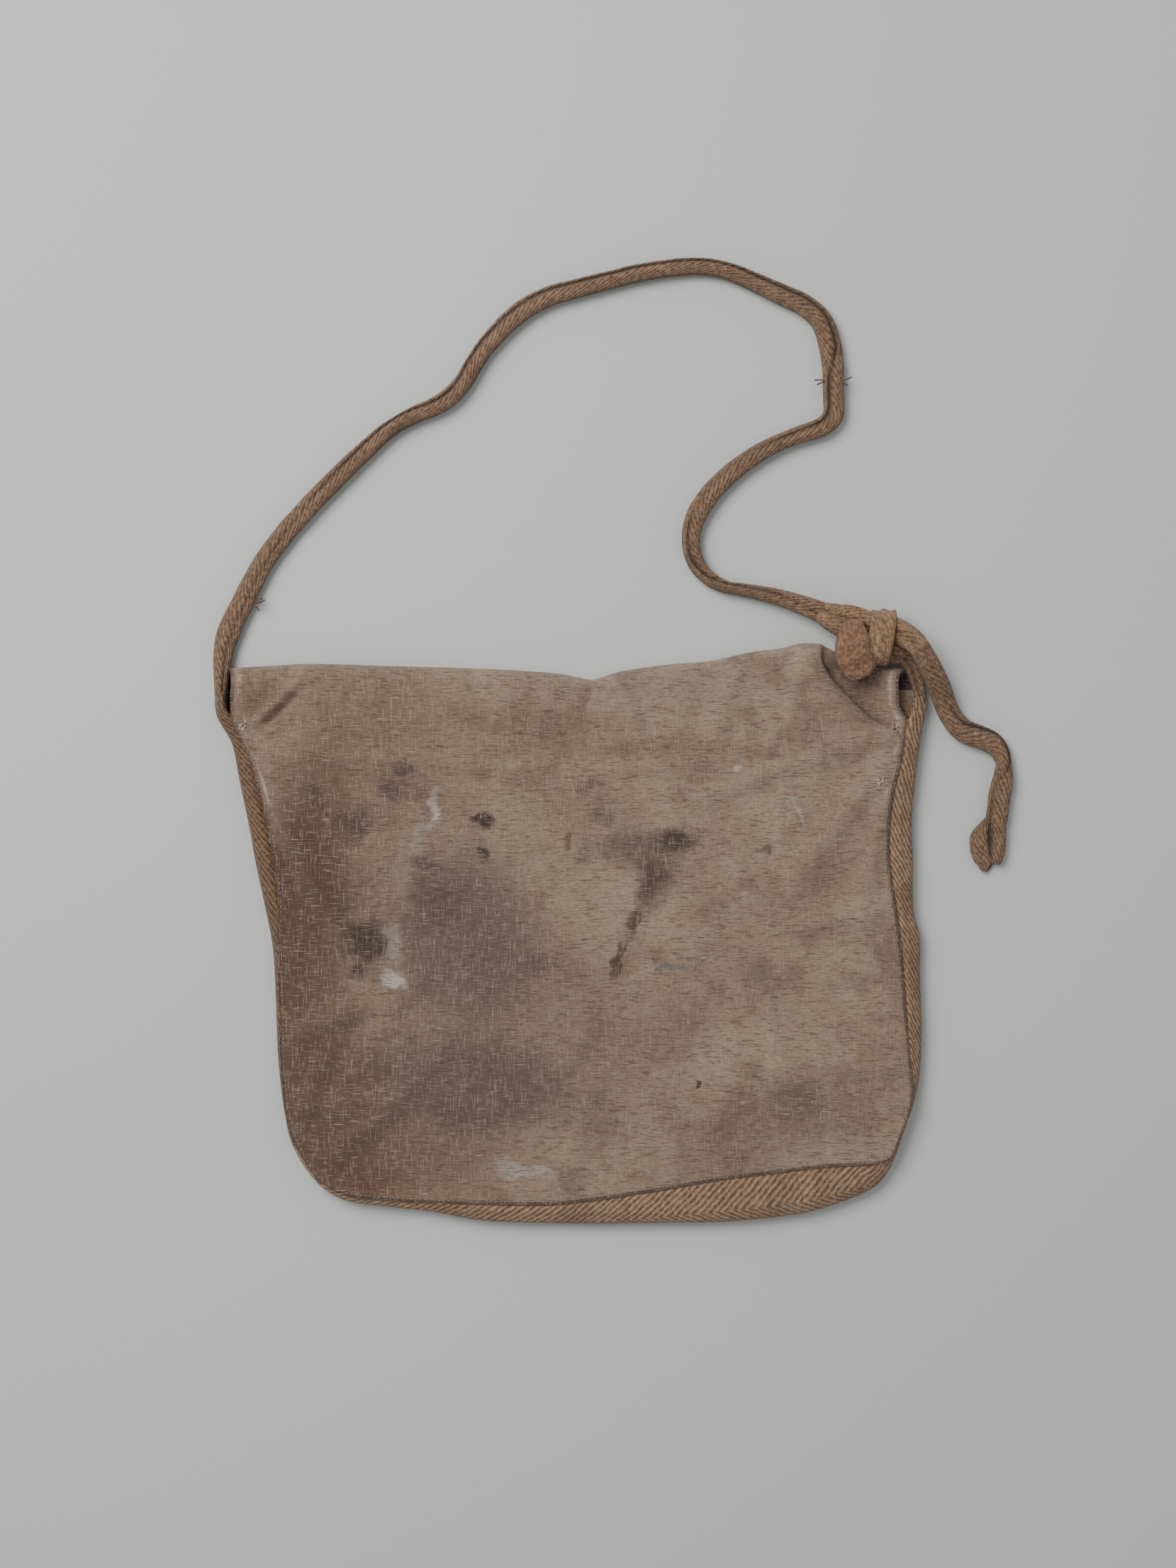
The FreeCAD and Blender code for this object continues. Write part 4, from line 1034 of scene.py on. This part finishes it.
# %% Fibres
def fibre_tuft(name, roots, material, radius=0.13):
    """roots: (x, y, z, direction in degrees, length, lift)."""
    rng = np.random.default_rng(7)
    lines = []
    for x, y, z, heading, length, lift in roots:
        bend = rng.uniform(-45, 45)
        line = [np.array([x, y, z], float)]
        for number in range(5):
            angle = math.radians(heading + bend * number / 5)
            step = np.array([math.cos(angle), math.sin(angle), lift])
            line.append(line[-1] + length / 5 * step)
        lines.append(line)
    carrier = curve_piece(name, "POLY", lines)
    carrier.data.bevel_depth = radius * MM
    carrier.data.bevel_resolution = 1
    carrier.data.use_fill_caps = True
    bpy.ops.object.select_all(action="DESELECT")
    carrier.select_set(True)
    bpy.context.view_layer.objects.active = carrier
    bpy.ops.object.convert(target="MESH")
    piece = bpy.context.object
    piece.name = name
    return finish_piece(piece, material, 60)


# The fibres' roots lie along the blunt end of the frayed band, from side to side.
rng = np.random.default_rng(3)
roots = []
for _ in range(150):
    rng.uniform()  # One draw is passed over, which keeps every fibre where it is.
    side = rng.uniform(-1, 1)
    y = 163.5 - 3.0 * rng.uniform(0, 1) - 4.0 * side + 8.0 * side ** 4
    x = 171.0 + 9.5 * side
    roots.append((x, y, rng.uniform(17.5, 22.0), -90 + 55 * side + rng.uniform(-25, 25),
                  rng.uniform(3.0, 8.0), rng.uniform(-0.25, 0.15)))
frayed_fibres = fibre_tuft("frayed_fibres", roots, FRAYED)
strap_fibres = fibre_tuft("strap_fibres", [
    (152.5, 337.5, 8.5, 175, 6.0, 0.0), (152.5, 336.5, 8.0, 190, 4.5, 0.1),
    (163.5, 337.5, 8.5, 10, 6.0, 0.0), (163.5, 336.0, 8.0, -15, 3.5, 0.1),
    (-190.5, 205.0, 8.0, 20, 6.0, 0.0), (-190.0, 203.5, 8.0, 5, 7.0, 0.0),
    (-190.8, 202.0, 8.0, -20, 5.0, 0.1), (-189.5, 206.0, 8.0, 45, 4.0, 0.1),
], FRAYED, radius=0.42)

# %% [markdown]
# ## Stitches
#
# A line of stitches is one small capsule, repeated by an array and bent along a curve.

# %% Stitches
def stitch_line(name, run, length, gap, thick, material):
    """Capsules along a 3-D line in mm."""
    path = curve_piece(name + "_path", "POLY", [run])
    bpy.ops.mesh.primitive_uv_sphere_add(segments=8, ring_count=6, radius=0.5)
    piece = bpy.context.object
    piece.name = name
    piece.scale = (length * MM, thick * MM, thick * MM)
    bpy.ops.object.transform_apply(location=False, rotation=False, scale=True)
    piece.data.transform(Matrix.Translation((length * MM / 2, 0, 0)))
    array = piece.modifiers.new("array", "ARRAY")
    array.use_relative_offset = False
    array.use_constant_offset = True
    array.constant_offset_displace = ((length + gap) * MM, 0, 0)
    array.fit_type = "FIXED_COUNT"
    array.count = max(2, int(line_length(np.array(run)) / (length + gap)))
    bend = piece.modifiers.new("bend", "CURVE")
    bend.object = path
    bpy.ops.object.modifier_apply(modifier="array")
    bpy.ops.object.modifier_apply(modifier="bend")
    bpy.data.objects.remove(path)
    return finish_piece(piece, material, 60)


def cloth_top(x, y):
    """The height in mm of the back cloth's upper face over a place."""
    hit, where, _, _ = back_cloth.ray_cast((x * MM, y * MM, 0.1), (0, 0, -1))
    return where.z / MM if hit else None


def surface_line(points, count=300, lift=0.35):
    """The line through the points, dropped on to the back cloth from above."""
    placed = []
    for x, y in smooth_line(points, count):
        top = cloth_top(x, y)
        placed.append((x, y, SHEET_TOP if top is None else top + lift))
    return np.array(placed)


def moved_in(points, amount):
    """The line of points moved to its left."""
    line = smooth_line(points, 200)
    way = directions(line)
    return line + amount * np.stack([-way[:, 1], way[:, 0]], 1)


# How far the seams' stitches lie inside the cloth's edge.
SEAM_IN = 2.2
# Pieces of thread, each with the CAD node that it replaces.
threads = {}
for node_name, line in (
        ("back_seam_left", left_seam[:-2]),
        ("back_seam_bottom", left_seam[-3:-1] + bottom_seam + right_seam[1:2]),
        ("back_seam_right", right_seam[1:])):
    threads[node_name] = stitch_line(
        node_name + "_thread", surface_line(moved_in(line, SEAM_IN)), 2.0, 0.8, 0.55, THREAD)
for side, line in (("left", [(-190.5, 133), (-191.5, 145), (-192, 157)]),
                   ("right", [(184, 137), (181.5, 147), (180.5, 158)])):
    threads["hem_stitch_" + side] = stitch_line(
        "hem_%s_thread" % side, surface_line(line), 2.0, 0.9, 0.5, THREAD)


def hand_stitches(name, strokes, thick, material):
    """Straight hand stitches: (x, y, length, degrees) on the back cloth, joined."""
    made = []
    for x, y, length, degrees in strokes:
        top = cloth_top(x, y)
        z = SHEET_TOP if top is None else top
        bpy.ops.mesh.primitive_uv_sphere_add(segments=10, ring_count=8, radius=0.5)
        stroke = bpy.context.object
        stroke.scale = (length * MM, thick * MM, thick * MM)
        stroke.rotation_euler = (0, 0, math.radians(degrees))
        stroke.location = (x * MM, y * MM, (z + 0.3 * thick) * MM)
        made.append(stroke)
    bpy.ops.object.select_all(action="DESELECT")
    for stroke in made:
        stroke.select_set(True)
    bpy.context.view_layer.objects.active = made[0]
    bpy.ops.object.join()
    piece = bpy.context.object
    piece.name = name
    bpy.ops.object.transform_apply(location=True, rotation=True, scale=True)
    return finish_piece(piece, material, 60)


threads["corner_tack_left"] = hand_stitches("tack_left", [
    (-195.5, 130.5, 7, 35), (-195.0, 128.5, 6, 60), (-196.5, 127.5, 6, 150),
    (-194.0, 131.5, 5, 100), (-197.2, 130.0, 5, 15)], 1.0, PALE_THREAD)
threads["corner_tack_right"] = hand_stitches("tack_right", [
    (196.5, 129.0, 7, 25), (195.5, 127.5, 6, 85), (197.0, 126.8, 6, 145),
    (194.5, 129.5, 5, 60)], 1.0, PALE_THREAD)
threads["mend_stitch_right"] = hand_stitches("mend_right", [
    (184.0, 97.5, 6, 10), (185.5, 96.0, 6, 50), (183.0, 95.5, 5, 170), (186.5, 98.0, 4, 95)],
    0.9, PALE_THREAD)

# %% [markdown]
# ## Floor and light
#
# A plain pale floor, a big soft light from the upper left and a pale sky round it.

# %% Floor and light
floor_material, _, floor_surface = start_material("floor", 0.85)
floor_surface.inputs["Base Color"].default_value = colour("#c6c8c5")
floor_surface.inputs["Sheen Weight"].default_value = 0.0
bpy.ops.mesh.primitive_plane_add(size=3.0, location=(0.0, 0.1, -0.0002))
floor = bpy.context.object
floor.name = "floor"
floor.data.materials.append(floor_material)

bpy.ops.object.light_add(type="AREA", location=(-0.75, 0.80, 1.50))
key = bpy.context.object
key.name = "soft_key"
key.data.shape = "RECTANGLE"
key.data.size = 1.0
key.data.size_y = 1.0
key.data.energy = 30.0
key.rotation_euler = (Vector((0, 0.1, 0)) - key.location).to_track_quat("-Z", "Y").to_euler()

world = bpy.data.worlds.new("studio")
SCENE.world = world
world.use_nodes = True
sky = world.node_tree.nodes["Background"]
sky.inputs["Color"].default_value = colour("#eef0f2")
sky.inputs["Strength"].default_value = 0.56

# %% [markdown]
# ## Riding on the frame
#
# The CAD parts get plain cloth, tape or thread, and are hidden where a piece made here takes
# their place.  The back cloth, the tail, the knot, the frayed end, the fibres and the threads ride
# on their CAD bodies; the flap, the gussets, the strap and its right leg are baked where they
# stand.

# %% Bodies
for node_name, node in NODES.items():
    wanted = THREAD if ("stitch" in node_name or "seam" in node_name) else CLOTH
    if "gusset" in node_name or "strap" in node_name or "knot" in node_name:
        wanted = TAPE
    node.data.materials.clear()
    node.data.materials.append(wanted)

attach(back_cloth, "back")
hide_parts("back_panel")
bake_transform(flap_cloth)
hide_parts("flap")
for piece, node_name in ((gusset_left_tape, "gusset_left"),
                         (gusset_bottom_tape, "gusset_bottom"),
                         (gusset_right_tape, "gusset_right")):
    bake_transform(piece)
    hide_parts(node_name)
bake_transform(strap_cord)
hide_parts("strap_loop")
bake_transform(leg_cord)
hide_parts("strap_right_leg")
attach(tail_cord, "tail")
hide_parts("strap_tail")
for piece in (tail_end_band, tail_end_wedge):
    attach(piece, "tail")
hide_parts("tail_end")
for piece in (knot_entry_band, knot_over_band, knot_turn_band, knot_exit_band,
              knot_heart_band):
    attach(piece, "strap")
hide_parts("knot_entry")
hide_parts("knot_wrap")
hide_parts("knot_exit")
for piece in (frayed_band, frayed_fibres, strap_fibres):
    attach(piece, "strap")
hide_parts("frayed_end")
for node_name, piece in threads.items():
    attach(piece, "back")
    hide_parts(node_name)
